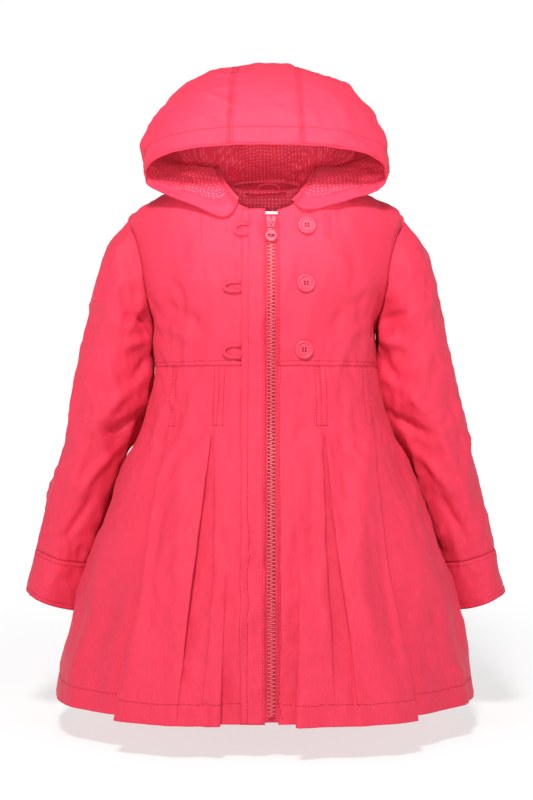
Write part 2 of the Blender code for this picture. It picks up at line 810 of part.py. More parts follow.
def bend(count):
    """A hairpin as pairs: how far it reaches out, 0 to 1, and its place along the seam, 1 to -1."""
    pairs = []
    for turn in spread(0, math.pi, count):
        pairs.append((math.sin(turn) ** 0.45, math.cos(turn)))
    return pairs


def build_loops():
    for name, loop in LOOPS.items():
        level = LAYER_GAP + LOOP_RADIUS + (SHELL + LAYER_GAP if loop.on_fly else 0.2)
        points = []
        for out, along in bend(11):
            x = loop.start + (loop.tip - loop.start) * out
            drop = loop.drop - along * loop.tall / 2
            angle = angle_at(x, drop)
            points.append(skirt(angle, drop) + facing_out(skirt, angle, drop) * level)
        add_cord(f"button_loop_{name}", points, LOOP_RADIUS, "shell")


def build_back_neck():
    half = [row[:9] for row in bodice_places(0.0, back=True)[:5]]
    points, normals = sample(on_ring, both_halves(half), offset=-(SHELL + LAYER_GAP))
    wall("back_neck_lining", points, normals, LINING, "lining")
    across = spread(-LABEL_HALF, LABEL_HALF, 5)
    places = [
        [(angle_at(x, drop, back=True) % 360, drop) for x in across[::-1]] for drop in LABEL_DROPS
    ]
    level = -(SHELL + LINING + 2 * LAYER_GAP + 0.3)
    points, normals = sample(on_ring, places, offset=level)
    wall("blank_label", points, normals, 0.6, "label")
    feet = on_ring(*neck_place(180.0)) + Vector((3, -1.7, HANGER_RADIUS + 0.5))
    points = [feet + Vector((-HANGER_HALF * along, 0, HANGER_TALL * out)) for out, along in bend(13)]
    add_cord("hanger_loop", points, HANGER_RADIUS, "shell")


LOOKS = {
    "shell": ((0.93, 0.075, 0.14), 0.62),
    "lining": ((0.80, 0.09, 0.15), 0.7),
    "zip": ((0.75, 0.10, 0.16), 0.4),
    "button": ((0.85, 0.08, 0.14), 0.3),
    "label": ((0.92, 0.90, 0.88), 0.7),
}

for item in list(bpy.data.objects):
    bpy.data.objects.remove(item, do_unlink=True)
COAT = bpy.data.collections.new("hooded_coat")
bpy.context.scene.collection.children.link(COAT)
CUTTERS = bpy.data.collections.new("cutters")
bpy.context.scene.collection.children.link(CUTTERS)

build_bodice()
build_skirt()
build_sleeves()
build_hood()
build_closing()
build_slider()
build_pull_tab()
build_buttons()
build_loops()
build_back_neck()
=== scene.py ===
import math
from collections import namedtuple

import bpy
import numpy as np
from mathutils import Matrix, Vector
from mathutils.bvhtree import BVHTree


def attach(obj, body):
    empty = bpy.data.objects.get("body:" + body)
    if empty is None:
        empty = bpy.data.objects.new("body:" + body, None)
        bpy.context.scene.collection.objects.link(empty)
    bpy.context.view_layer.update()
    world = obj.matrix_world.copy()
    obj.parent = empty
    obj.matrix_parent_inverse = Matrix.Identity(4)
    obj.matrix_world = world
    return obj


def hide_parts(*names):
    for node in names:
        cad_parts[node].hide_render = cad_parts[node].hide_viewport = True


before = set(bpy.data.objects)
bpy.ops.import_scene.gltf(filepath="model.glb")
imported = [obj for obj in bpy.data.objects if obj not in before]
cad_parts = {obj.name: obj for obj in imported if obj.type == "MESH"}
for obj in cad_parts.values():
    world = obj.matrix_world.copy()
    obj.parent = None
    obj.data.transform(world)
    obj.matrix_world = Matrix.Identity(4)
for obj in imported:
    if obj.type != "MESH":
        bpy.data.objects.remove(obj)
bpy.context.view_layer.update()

# The looks of the hooded coat. Tables and functions are in millimetres, as in the part's source, and
# meshes are in metres: the origin lies between the high points of the shoulders, +Z is up, the front
# faces -Y and the wearer's left is +X. Heights are given as a drop below the origin.

MM = 0.001
CLOTH = 0.9
HEM_CLOTH = 1.9
LINING = 0.8
SHELL_GAP = 1.75
SQUARE = 2.3

# How finely each piece is drawn: the spacing of its points, or their numbers across and down
FINE = 2.5
FRONT_COLUMNS = 56
BACK_COLUMNS = 52
BODICE_ROWS = 84
SKIRT_ROWS = 132
HEM_ROWS = 9
SLEEVE_ROUND = 96
SLEEVE_ROWS = 150
CUFF_ROWS = 22
HOOD_ROWS = 120
HOOD_SIDE_COLUMNS = 72
HOOD_MIDDLE_COLUMNS = 26
BRIM_COLUMNS = 150
FACING_ROWS = 12
LINING_ROWS = 90

SHOULDER_DROP = 46.0
ARMPIT_DROP = 168.0
WAIST_DROP = 216.0
RELEASE_DROP = 280.0
MIDDLE_DROP = 445.0
HEM_DROP = 567.0

NECK_SIDE = 55.0
NECK_FRONT = 76.0
NECK_BACK = 57.0
NECK_SQUARE = 3.2
HOOD_START = 22.3
HOOD_END = 163.0

# The share of a half bodice's top that is neck, and the share of its side that is armhole
NECK_SHARE = 8 / 12
ARM_SHARE = 0.8
ARMHOLE_ROWS = int(BODICE_ROWS * ARM_SHARE)

RIGHT_EDGE = -1.0
LEFT_EDGE = 12.0
FLY_EDGE = -25.0
# The two fronts: the wearer's side, its sign along X, and the edge's distance from the middle
FRONTS = (("left", 1, LEFT_EDGE), ("right", -1, -RIGHT_EDGE))
ZIP_CENTRE = 5.3
TAPE_HALF = 13.0
SLIDER_DROP = 66.0
SLIDER_TALL = 13.0
HINGE_RISE = 3.55
ARM_BITE = 23.0

Ring = namedtuple("Ring", "drop width front back")
TORSO = [
    Ring(0, 55, 46, 46),
    Ring(20, 95, 61, 60),
    Ring(46, 145, 74, 72),
    Ring(80, 146, 84, 84),
    Ring(120, 140, 92, 91),
    Ring(150, 129, 96, 94),
    Ring(168, 122, 98, 94),
    Ring(190, 123, 99, 93),
    Ring(216, 122, 99, 92),
    Ring(240, 125.5, 100, 93),
    Ring(265, 131, 102, 96),
    Ring(285, 139, 106, 100),
    Ring(317, 156, 116, 110),
    Ring(361, 172, 128, 122),
    Ring(425, 196, 146, 140),
    Ring(484, 211, 160, 154),
    Ring(526, 221, 168, 164),
    Ring(570, 228, 175, 173),
]

# A fold is a step in the cloth's level, met going outward from the middle, at three heights
Fold = namedtuple(
    "Fold",
    "at_release at_middle at_hem rise_release rise_middle rise_hem soft_release soft_middle soft_hem",
)
RIGHT_FOLDS = [
    Fold(38, 40, 46, 0, 2, 12, 6, 10, 14),
    Fold(52.5, 50.5, 64, -3, -9, 0, 3, 5, 8),
    Fold(56, 77, 84, 3, 11, 3, 3, 6, 16),
    Fold(105, 124, 143, -4, -15, -24, 4, 6, 7),
]
LEFT_FOLDS = [
    Fold(30, 33, 32, 0, 3, 14, 6, 6, 5),
    Fold(57.5, 60, 66, -3, -9, 0, 3, 5, 8),
    Fold(61, 79, 88, 3, 9, 2, 3, 6, 16),
    Fold(111, 127, 143, -4, -15, -24, 4, 6, 7),
]
BACK_FOLDS = [
    Fold(44, 50, 56, -3, -10, -4, 3, 6, 12),
    Fold(48, 68, 80, 3, 12, 16, 3, 6, 12),
    Fold(106, 126, 142, -4, -15, -22, 4, 6, 8),
]
FOLD_LAP = 0.42
FOLD_SHARP = 0.75

Rib = namedtuple(
    "Rib", "round side_x side_y side_z top_y top_z square seam_x droop_right droop_left"
)
RIBS = [
    Rib(HOOD_START, 127, -66, -18, -112, 11, 2.6, 37.5, 16, 8),
    Rib(33, 131, -58, -4, -107, 46, 2.45, 36, 9, 5),
    Rib(45, 129, -46, 8, -88, 79, 2.3, 34.5, 3, 2),
    Rib(60, 126, -28, 18, -56, 103, 2.15, 33, 0, 0),
    Rib(90, 119, 2, 30, 2, 117.5, 2.0, 31, 0, 0),
    Rib(115, 108, 34, 32, 54, 105, 2.0, 30, 0, 0),
    Rib(138, 88, 64, 20, 92, 66, 2.0, 28, 0, 0),
    Rib(152, 62, 74, 4, 93, 26, 2.0, 26, 0, 0),
    Rib(HOOD_END, 26.4, 56.6, -14.2, 57.8, -14.4, 2.0, 22, 0, 0),
]
HOOD_COLUMNS = [HOOD_START, 28, 34, 40, 48, 58, 70, 81, 90, 103, 117, 131, 144, 153, 158, HOOD_END]
FACING_END = 34
LINING_END = 158
WIDEST = 0.4

Cuff = namedtuple("Cuff", "station outer_x outer_drop inner_x inner_drop depth centre_y")
SLEEVE = [
    Cuff(0, 146, 46, 122, 168, 40, 0),
    Cuff(1, 160, 55, 126.5, 172, 42, 0),
    Cuff(2, 172, 76, 128, 180, 44, 0),
    Cuff(3, 182.5, 110, 128.5, 194, 46, 1),
    Cuff(4, 190, 142, 129, 212, 47, 3),
    Cuff(5, 200, 187, 131, 240, 47, 5),
    Cuff(6, 211.5, 240, 142, 276, 46, 8),
    Cuff(7, 225, 297, 162, 317, 43, 10),
    Cuff(8, 240.5, 360, 184, 378, 39, 11),
    Cuff(9, 252, 411, 201.5, 428, 36.5, 12),
    Cuff(10, 263.5, 460, 216, 482, 36, 12),
]
SLEEVE_END = 10
CUFF_STATION = 9.06
ARM_BLEND = 2.6
SLEEVE_PRESS = 9.0
REST_GAP = 0.8

BUTTONS = {"top": (42.7, 69.2), "middle": (41.3, 130.3), "low": (39.1, 199.2)}
Loop = namedtuple("Loop", "start tip drop tall on_fly")
LOOPS = {
    "top": Loop(-18, -32, 74, 11, True),
    "middle": Loop(-25.6, -43, 134, 9.5, False),
    "low": Loop(-25.6, -43, 201, 12, False),
}


# Numbers on curves


def interpolate(rows, at):
    """The table's other columns at places of its first column, on smooth curves through the rows."""
    table = np.array(rows, float)
    keys, values = table[:, 0], table[:, 1:]
    slopes = np.empty_like(values)
    slopes[1:-1] = (values[2:] - values[:-2]) / (keys[2:] - keys[:-2])[:, None]
    slopes[0] = (values[1] - values[0]) / (keys[1] - keys[0])
    slopes[-1] = (values[-1] - values[-2]) / (keys[-1] - keys[-2])
    at = np.clip(np.asarray(at, float), keys[0], keys[-1])
    i = np.clip(np.searchsorted(keys, at, side="right") - 1, 0, len(keys) - 2)
    span = (keys[i + 1] - keys[i])[..., None]
    t = (at - keys[i])[..., None] / span
    mixed = (
        values[i] * (1 + 2 * t) * (1 - t) ** 2
        + slopes[i] * span * t * (1 - t) ** 2
        + values[i + 1] * t * t * (3 - 2 * t)
        + slopes[i + 1] * span * t * t * (t - 1)
    )
    return np.moveaxis(mixed, -1, 0)


def ease(t):
    t = np.clip(t, 0.0, 1.0)
    return t * t * (3 - 2 * t)


def unit(vectors):
    return vectors / np.maximum(np.linalg.norm(vectors, axis=-1, keepdims=True), 1e-9)


def waves(points, seed, length, stretch=(1, 1, 1), count=26):
    """A smooth random field of about unit size over points in space, longer along stretched axes."""
    random = np.random.default_rng(seed)
    turns = unit(random.normal(size=(count, 3))) / np.array(stretch)
    turns *= (2 * math.pi / (length * random.uniform(0.7, 1.6, count)))[:, None]
    phases = random.uniform(0, 2 * math.pi, count)
    total = np.zeros(points.shape[:-1])
    for turn, phase in zip(turns, phases):
        total += np.sin(points @ turn + phase)
    return total * math.sqrt(2 / count)


# Torso


def on_ring(angle, drop):
    """Points of the torso: angle 0 is the middle of the front, 90 the wearer's left, 180 the back."""
    width, front, back = interpolate(TORSO, drop)
    sine, cosine = np.sin(np.radians(angle)), np.cos(np.radians(angle))
    x = np.copysign(width * np.abs(sine) ** (2 / SQUARE), sine)
    depth = np.where(cosine > 0, -front, back)
    y = depth * np.abs(cosine) ** (2 / SQUARE)
    return np.stack([x, y, -drop + 0 * x], axis=-1)


def angle_at(x, drop, back=False):
    width = interpolate(TORSO, drop)[0]
    angle = np.degrees(np.arcsin(np.minimum(1.0, (np.abs(x) / width) ** (SQUARE / 2))))
    return np.copysign(180 - angle if back else angle, x)


def facing_out(surface, a, b):
    across = surface(a + 0.4, b) - surface(a - 0.4, b)
    down = surface(a, b + 0.6) - surface(a, b - 0.6)
    return unit(np.cross(down, across))


def ring_facing(angle, drop):
    return facing_out(on_ring, angle, drop)


def fold_at(fold, drop):
    rows = [
        (RELEASE_DROP, fold.at_release, fold.rise_release, fold.soft_release * FOLD_SHARP),
        (MIDDLE_DROP, fold.at_middle, fold.rise_middle, fold.soft_middle * FOLD_SHARP),
        (HEM_DROP, fold.at_hem, fold.rise_hem, fold.soft_hem * FOLD_SHARP),
    ]
    return interpolate(rows, drop)


def skirt(angle, drop):
    """The pleated skirt: the ring, stepped in and out by its folds, whose edges lap over a little."""
    angle, drop = np.broadcast_arrays(np.asarray(angle, float), np.asarray(drop, float))
    base = on_ring(angle, drop)
    x = base[..., 0]
    side = np.where(x < 0, -1.0, 1.0)
    turned = (angle + 180) % 360 - 180
    level, lap, reach = np.zeros_like(x), np.zeros_like(x), np.zeros_like(x)
    kinds = (
        (RIGHT_FOLDS, (np.abs(turned) <= 90) & (turned <= 0)),
        (LEFT_FOLDS, (np.abs(turned) <= 90) & (turned > 0)),
        (BACK_FOLDS, np.abs(turned) > 90),
    )
    for folds, here in kinds:
        for fold in folds:
            place, rise, soft = fold_at(fold, drop)
            t = (np.abs(x) - place) / soft + 0.5
            level += np.where(here, rise * ease(t), 0)
            turn_under = np.sin(2 * math.pi * np.clip(t, 0, 1)) * np.minimum(np.abs(rise), 12)
            lap += np.where(here, FOLD_LAP * turn_under, 0)
            reach = np.where(here, place + soft / 2, reach)
    width = interpolate(TORSO, drop)[0]
    fade = 1 - ease((np.abs(x) - reach) / (width - reach))
    opened = ease((drop - RELEASE_DROP + 4) / 22)
    out = facing_out(on_ring, angle, drop)
    out[..., 2] = 0
    out = unit(out)
    across = np.stack([-out[..., 1], out[..., 0], 0 * x], axis=-1)
    across *= np.where(across[..., 0] * side < 0, -1.0, 1.0)[..., None]
    return base + out * (level * fade * opened)[..., None] + across * (lap * opened)[..., None]


# Neck, armholes and the bodice's panels


def neck_place(turn):
    """Where the neck hole cuts the torso, as angles and drops; turn is degrees round the hole."""
    turn = np.asarray(turn, float)
    sine, cosine = np.sin(np.radians(turn)), np.cos(np.radians(turn))
    front = cosine > 0
    x = NECK_SIDE * np.abs(sine) ** (2 / NECK_SQUARE)
    y = np.where(front, NECK_FRONT, NECK_BACK) * np.abs(cosine) ** (2 / NECK_SQUARE)
    low, high = np.zeros_like(turn), np.full_like(turn, 70.0)
    for _ in range(40):
        drop = (low + high) / 2
        width, ahead, behind = interpolate(TORSO, drop)
        beyond = (x / width) ** SQUARE + (y / np.where(front, ahead, behind)) ** SQUARE > 1
        low, high = np.where(beyond, drop, low), np.where(beyond, high, drop)
    return np.where(front, angle_at(x, drop), angle_at(x, drop, back=True)), drop


def neck_turn(x):
    return math.degrees(math.asin((abs(x) / NECK_SIDE) ** (NECK_SQUARE / 2)))


def armhole_place(share, back):
    """Where the armhole lies; share runs from 0 at the shoulder to 1 at the armpit."""
    part = (1 - np.cos(math.pi * share)) / 2
    bite = ARM_BITE * np.sin(math.pi * part)
    drop = SHOULDER_DROP + (ARMPIT_DROP - SHOULDER_DROP) * part
    return (90 + bite if back else 90 - bite), drop


def bodice_half(edge_x, back, columns, rows):
    """Places of half of the front or back, blended from its four edges."""
    u, v = np.linspace(0, 1, columns), np.linspace(0, 1, rows)
    start = 180.0 if back else neck_turn(edge_x)
    along_neck = np.minimum(u / NECK_SHARE, 1)
    neck_angle, neck_drop = neck_place(start + (90 - start) * along_neck)
    shoulder = np.maximum(u - NECK_SHARE, 0) / (1 - NECK_SHARE)
    top = np.stack([
        np.where(shoulder > 0, 90.0, neck_angle),
        np.where(shoulder > 0, SHOULDER_DROP * shoulder, neck_drop),
    ], axis=-1)
    arm_angle, arm_drop = armhole_place(np.minimum(v / ARM_SHARE, 1), back)
    low = np.maximum(v - ARM_SHARE, 0) / (1 - ARM_SHARE)
    side = np.stack([
        np.where(low > 0, 90.0, arm_angle),
        np.where(low > 0, ARMPIT_DROP + (WAIST_DROP - ARMPIT_DROP) * low, arm_drop),
    ], axis=-1)
    drops = top[0, 1] + (WAIST_DROP - top[0, 1]) * v
    middle_angle = np.full(rows, 180.0) if back else angle_at(np.full(rows, edge_x), drops)
    middle = np.stack([middle_angle, drops], axis=-1)
    waist = np.stack([
        middle[-1, 0] + (90 - middle[-1, 0]) * u,
        np.full(columns, WAIST_DROP),
    ], axis=-1)
    u, v = u[None, :, None], v[:, None, None]
    corners = (1 - v) * ((1 - u) * top[0] + u * top[-1]) + v * ((1 - u) * waist[0] + u * waist[-1])
    grid = (1 - u) * middle[:, None] + u * side[:, None] + (1 - v) * top[None] + v * waist[None] - corners
    return grid[..., 0], grid[..., 1]


def on_side(sign, angle, drop):
    """Places of the left side, mirrored where the sign is that of the right one."""
    return (angle, drop) if sign > 0 else (-angle[:, ::-1], drop[:, ::-1])


def whole_back(angle, drop):
    """A back panel in one piece, from the wearer's left side round to the right."""
    angle = np.concatenate([angle[:, ::-1], 360 - angle[:, 1:]], axis=1)
    return angle, np.concatenate([drop[:, ::-1], drop[:, 1:]], axis=1)


def skirt_half(side, edge_x, back, rows):
    """Places of half of the skirt, with columns close together on each fold's step."""
    drops = np.concatenate([np.linspace(WAIST_DROP, HEM_DROP - 1.2, rows - 1), [HEM_DROP]])
    folds = BACK_FOLDS if back else (LEFT_FOLDS if side > 0 else RIGHT_FOLDS)
    width = interpolate(TORSO, drops)[0]
    held = np.minimum(1.0, width / interpolate(TORSO, RELEASE_DROP)[0])
    steps = [(np.full(rows, edge_x), 0)]
    for fold in folds:
        place, _, soft = fold_at(fold, drops)
        start = np.maximum((place - soft / 2) * held, steps[-1][0] + 2)
        between = max(4, int(np.mean(start - steps[-1][0]) / FINE))
        steps += [(start, between), (np.maximum((place + soft / 2) * held, start + 1), 10)]
    distances = [steps[0][0]]
    for (near, _), (far, count) in zip(steps, steps[1:]):
        distances += [near + (far - near) * (k + 1) / count for k in range(count)]
    angles = [angle_at(distance, drops, back) for distance in distances]
    rest = 28
    angles += [angles[-1] + (90 - angles[-1]) * (k + 1) / rest for k in range(rest)]
    drop = np.repeat(drops[:, None], len(angles), axis=1)
    return np.stack(angles, axis=1), drop


# Sleeves


def armhole_edge(turn):
    """The armhole as a ring: turn 0 is the shoulder, 90 the front, 180 the armpit, 270 the back."""
    turn = turn % 360
    back = turn > 180
    share = np.where(back, 360 - turn, turn) / 180
    front_angle, drop = armhole_place(share, False)
    return np.where(back, 180 - front_angle, front_angle), drop


def armhole_foot(turn, level=0.45, beyond=0.1):
    angle, drop = armhole_edge(turn)
    facing = ring_facing(angle, drop)
    along = on_ring(*armhole_edge(turn + 1)) - on_ring(*armhole_edge(turn - 1))
    return on_ring(angle, drop) + facing * level + unit(np.cross(facing, along)) * beyond


def sleeve(turn, station):
    """The wearer's left sleeve."""
    turn, station = np.broadcast_arrays(np.asarray(turn, float), np.asarray(station, float))
    outer_x, outer_drop, inner_x, inner_drop, depth, centre_y = interpolate(SLEEVE, station)
    cosine, sine = np.cos(np.radians(turn)), np.sin(np.radians(turn))
    x = (outer_x + inner_x) / 2 + (outer_x - inner_x) / 2 * cosine
    drop = (outer_drop + inner_drop) / 2 + (outer_drop - inner_drop) / 2 * cosine
    ring = np.stack([x, centre_y - depth * sine, -drop], axis=-1)
    share = ease(station / ARM_BLEND)[..., None]
    return beside_body(armhole_foot(turn) * (1 - share) + ring * share, share[..., 0])


def beside_body(points, share):
    """Lets the sleeve's inner side down onto the body and skirt, where it flattens against them."""
    x, y, z = points[..., 0], points[..., 1], points[..., 2]
    width, front, back = interpolate(TORSO, -z)
    depth = np.where(y < 0, front, back)
    side = width * np.maximum(1 - (np.abs(y) / depth) ** SQUARE, 0) ** (1 / SQUARE) + REST_GAP
    near = np.exp(-((np.maximum(x - side, 0) / 16) ** 2))
    x = np.where(x > side, np.maximum(x - SLEEVE_PRESS * near * share, side), x)
    return np.stack([x, y, z], axis=-1)


def right_sleeve(turn, station):
    return sleeve(turn, station) * (-1, 1, 1)


# Hood


def hood_foot(turn):
    angle, drop = neck_place(turn)
    return on_ring(angle, drop) + ring_facing(angle, drop) * 0.7


def hood(turn, reach):
    """Points of the hood: reach 0 is the neck's left, 1 the middle of the top, 2 the neck's right."""
    turn, reach = np.broadcast_arrays(np.asarray(turn, float), np.asarray(reach, float))
    sign = np.where(reach <= 1, 1.0, -1.0)
    reach = np.minimum(reach, 2 - reach)
    side_x, side_y, side_z, top_y, top_z, square, _, droop_right, droop_left = interpolate(RIBS, turn)
    foot = hood_foot(turn)
    t = np.clip(reach / WIDEST, 0, 1) * math.pi / 2
    hang = np.where(sign > 0, droop_left, droop_right) * t / 0.16 * np.exp(1 - t / 0.16)
    x_low = foot[..., 0] + (side_x - foot[..., 0]) * np.sin(t)
    y_low = foot[..., 1] + (side_y - foot[..., 1]) * (1 - np.cos(t)) - 0.45 * hang
    z_low = foot[..., 2] + (side_z - foot[..., 2]) * (1 - np.cos(t)) - hang
    t = np.clip((reach - WIDEST) / (1 - WIDEST), 0, 1) * math.pi / 2
    across, up = np.abs(np.cos(t)) ** (2 / square), np.sin(t) ** (2 / square)
    low = reach < WIDEST
    x = np.where(low, x_low, side_x * across)
    y = np.where(low, y_low, side_y + (top_y - side_y) * up)
    z = np.where(low, z_low, side_z + (top_z - side_z) * up)
    return np.stack([sign * x, y, z], axis=-1)


def hood_seam(turn):
    values = interpolate(RIBS, turn)
    side_x, square, seam_x = values[0], values[5], values[6]
    t = np.arccos((seam_x / side_x) ** (square / 2))
    return WIDEST + (1 - WIDEST) * t / (math.pi / 2)


def hood_turns(first, last, count):
    """Turns from one of the hood's own columns to another, spaced as its columns are."""
    index = np.arange(len(HOOD_COLUMNS))
    ends = np.interp([first, last], HOOD_COLUMNS, index)
    return np.interp(np.linspace(ends[0], ends[1], count), index, HOOD_COLUMNS)


def hood_facing(turn, reach):
    across = hood(turn + 0.3, reach) - hood(turn - 0.3, reach)
    up = hood(turn, np.minimum(reach + 0.004, 2)) - hood(turn, np.maximum(reach - 0.004, 0))
    return unit(np.cross(across, up))


# Relief: what the cloth does on its form


def near_line(points, path):
    """Each point's distance from a path in space, and how far along the path its nearest place is."""
    best = np.full(points.shape[:-1], 1e9)
    along = np.zeros(points.shape[:-1])
    gone = 0.0
    for start, end in zip(path[:-1], path[1:]):
        step = end - start
        length = max(float(np.linalg.norm(step)), 1e-6)
        t = np.clip(((points - start) @ step) / length**2, 0, 1)
        gap = np.linalg.norm(points - start - t[..., None] * step, axis=-1)
        closer = gap < best
        best = np.where(closer, gap, best)
        along = np.where(closer, gone + t * length, along)
        gone += length
    return best, along, gone


def resample(path, count):
    steps = np.linalg.norm(np.diff(path, axis=0), axis=1)
    at = np.concatenate([[0], np.cumsum(steps)])
    where = np.linspace(0, at[-1], count)
    return np.stack([np.interp(where, at, path[:, k]) for k in range(3)], axis=1)


def path_length(path):
    return float(np.linalg.norm(np.diff(path, axis=0), axis=1).sum())


# A crease runs between two places of a surface: how far it bows, how high it stands (below zero for
# a trough) and how wide it is. Places are (x, drop) on the torso, (turn, station) on a sleeve and
# (turn, reach) on the hood.
Crease = namedtuple("Crease", "a0 b0 a1 b1 bow rise wide")
FRONT_CREASES = [
    Crease(-112, 150, -64, 176, 4, -2.9, 6.4),
    Crease(-118, 168, -70, 196, 5, 2.5, 6.4),
    Crease(-104, 120, -84, 160, 3, -2.1, 5.6),
    Crease(-60, 78, -92, 118, -3, 1.8, 7.2),
    Crease(108, 140, 66, 178, -4, -2.6, 6.4),
    Crease(116, 166, 74, 194, -4, 2.3, 6.4),
    Crease(98, 112, 82, 158, -2, -2.1, 5.6),
    Crease(62, 92, 90, 124, 3, 1.6, 7.2),
    Crease(-86, 300, -92, 520, 4, 4.2, 10.4),
    Crease(-104, 330, -118, 548, -3, -3.5, 8.0),
    Crease(-20, 330, -34, 560, 2, 2.9, 8.8),
    Crease(-110, 288, -151, 564, 0, -3.4, 3.6),
    Crease(115, 288, 151, 564, 0, -3.4, 3.6),
    Crease(22, 310, 20, 540, -2, 2.9, 8.0),
    Crease(46, 300, 44, 470, 3, -2.3, 6.4),
    Crease(96, 300, 104, 540, -4, 4.0, 10.4),
    Crease(116, 330, 124, 550, 3, -3.1, 7.2),
    Crease(-30, 232, -36, 330, 2, 1.8, 5.6),
    Crease(30, 226, 24, 300, 2, 1.6, 5.6),
    Crease(-78, 232, -84, 290, 2, 1.6, 6.4),
    Crease(84, 230, 90, 296, -2, 1.6, 6.4),
]
BACK_CREASES = [
    Crease(-96, 120, -50, 168, 4, -2.5, 6.4),
    Crease(-106, 150, -56, 192, 4, 2.1, 6.4),
    Crease(94, 116, 54, 170, -4, -2.5, 6.4),
    Crease(104, 152, 52, 196, -3, 2.1, 6.4),
    Crease(-24, 60, 22, 66, 5, 1.8, 7.2),
    Crease(-86, 310, -98, 540, 3, 4.0, 10.4),
    Crease(-20, 320, -16, 550, 3, 3.1, 9.6),
    Crease(26, 300, 32, 530, -3, -3.1, 8.0),
    Crease(92, 300, 108, 548, -3, 3.9, 9.6),
    Crease(-34, 228, -30, 320, 2, 1.6, 5.6),
    Crease(70, 230, 76, 300, 2, 1.6, 6.4),
]
SLEEVE_CREASES = [
    Crease(150, 1.6, 96, 3.0, 4, -3.5, 6.0),
    Crease(158, 2.4, 104, 4.4, 3, 4.0, 6.8),
    Crease(166, 3.3, 116, 5.6, 3, -4.0, 6.0),
    Crease(150, 4.6, 92, 6.4, -4, 4.2, 6.8),
    Crease(164, 5.6, 108, 6.6, 3, -4.4, 6.0),
    Crease(70, 4.8, 112, 6.0, 3, 2.5, 6.8),
    Crease(150, 6.6, 98, 7.8, -3, 3.5, 6.0),
    Crease(128, 7.6, 92, 8.7, 3, -3.1, 5.2),
    Crease(84, 6.2, 76, 8.2, 3, 2.5, 6.8),
    Crease(210, 2.0, 262, 3.6, 4, -3.2, 6.0),
    Crease(200, 4.0, 258, 5.4, 3, 3.8, 6.8),
    Crease(206, 5.5, 262, 6.6, -3, -3.8, 6.0),
    Crease(214, 7.0, 268, 8.2, 3, 3.1, 6.0),
    Crease(20, 5.0, 34, 7.2, 3, 2.2, 7.5),
    Crease(330, 3.2, 322, 5.6, 3, 2.2, 7.5),
]
HOOD_CREASES = [
    Crease(33, 1.05, 45, 1.28, 1, 4.4, 5),
    Crease(46, 1.27, 36, 1.64, 1, 4.6, 5.5),
    Crease(33, 1.36, 30, 1.75, 1, -4.4, 5),
    Crease(36, 0.62, 58, 0.56, 2, 2.4, 6),
    Crease(48, 0.74, 80, 0.68, 2, 2.4, 7),
    Crease(70, 1.30, 104, 1.44, 2, 2.4, 9.0),
    Crease(58, 0.94, 96, 1.00, 2, 1.8, 10.5),
    Crease(28, 0.30, 40, 0.52, 2, -1.2, 8),
    Crease(108, 0.50, 138, 0.34, 2, 3.7, 8.2),
    Crease(112, 1.52, 142, 1.66, 2, 3.7, 8.2),
    Crease(124, 0.86, 150, 0.94, 2, -3.2, 7.5),
    Crease(128, 1.20, 152, 1.10, 2, 2.9, 7.5),
]


def crease_paths(creases, surface):
    """Each crease as a path in space, with its rise and width."""
    t = np.linspace(0, 1, 9)
    paths = []
    for crease in creases:
        a = crease.a0 + (crease.a1 - crease.a0) * t + crease.bow * np.sin(math.pi * t)
        b = crease.b0 + (crease.b1 - crease.b0) * t
        paths.append((surface(a, b), crease.rise, crease.wide))
    return paths


def front_at(x, drop):
    return on_ring(angle_at(x, drop), drop)


def back_at(x, drop):
    return on_ring(angle_at(x, drop, back=True), drop)


PATHS = {
    "torso": crease_paths(FRONT_CREASES, front_at) + crease_paths(BACK_CREASES, back_at),
    "sleeve_left": crease_paths(SLEEVE_CREASES, sleeve),
    "sleeve_right": crease_paths(SLEEVE_CREASES, right_sleeve),
    "hood": crease_paths(HOOD_CREASES, hood),
}
# Where the cloth crumples: the size of its soft waves and of its sharp small folds, in millimetres
Crumple = namedtuple("Crumple", "soft sharp small stretch seed crease")
CRUMPLES = {
    "torso": Crumple(1.0, 2.1, 0.95, (1, 1, 2.2), 3, 1.25),
    "sleeve_left": Crumple(1.0, 2.6, 1.1, (1, 1, 1.6), 5, 1.35),
    "sleeve_right": Crumple(1.0, 2.6, 1.1, (1, 1, 1.6), 6, 1.35),
    "hood": Crumple(0.8, 1.5, 0.9, (1.3, 1.3, 1), 8, 1.0),
}


# The lengths of the cloth's waves: soft ones, patches that crumple more, sharp and small folds, and
# the upright ones that grow towards the hem, with the height they reach there
SOFT_WAVE = 85
PATCH_WAVE = 120
SHARP_WAVE = 46
SMALL_WAVE = 17
HEM_WAVE = 44
HEM_RISE = 2.1


def cloth_relief(points, group):
    """How far the cloth of one part of the coat stands off its form."""
    kind = CRUMPLES[group]
    relief = kind.soft * waves(points, kind.seed, SOFT_WAVE, kind.stretch)
    here = 0.5 + 0.5 * ease(0.5 + waves(points, kind.seed + 20, PATCH_WAVE) / 2)
    folds = ((kind.sharp, 40, SHARP_WAVE), (kind.small, 60, SMALL_WAVE))
    for size, seed, length in folds:
        field = waves(points, kind.seed + seed, length, kind.stretch)
        relief += size * here * (0.7 - np.abs(field))
    if group == "torso":
        flare = ease((-points[..., 2] - RELEASE_DROP) / 260)
        relief += HEM_RISE * flare * waves(points, 91, HEM_WAVE, (1, 1, 9))
    for path, rise, wide in PATHS[group]:
        near = np.abs(points - path.mean(axis=0)).max(axis=-1) < path_length(path) / 2 + 3 * wide
        if not near.any():
            continue
        gap, along, length = near_line(points[near], path)
        ends = np.clip(np.sin(math.pi * along / length), 0, 1) ** 0.7
        relief[near] += kind.crease * rise * ends * np.exp(-((gap / wide) ** 2))
    return relief


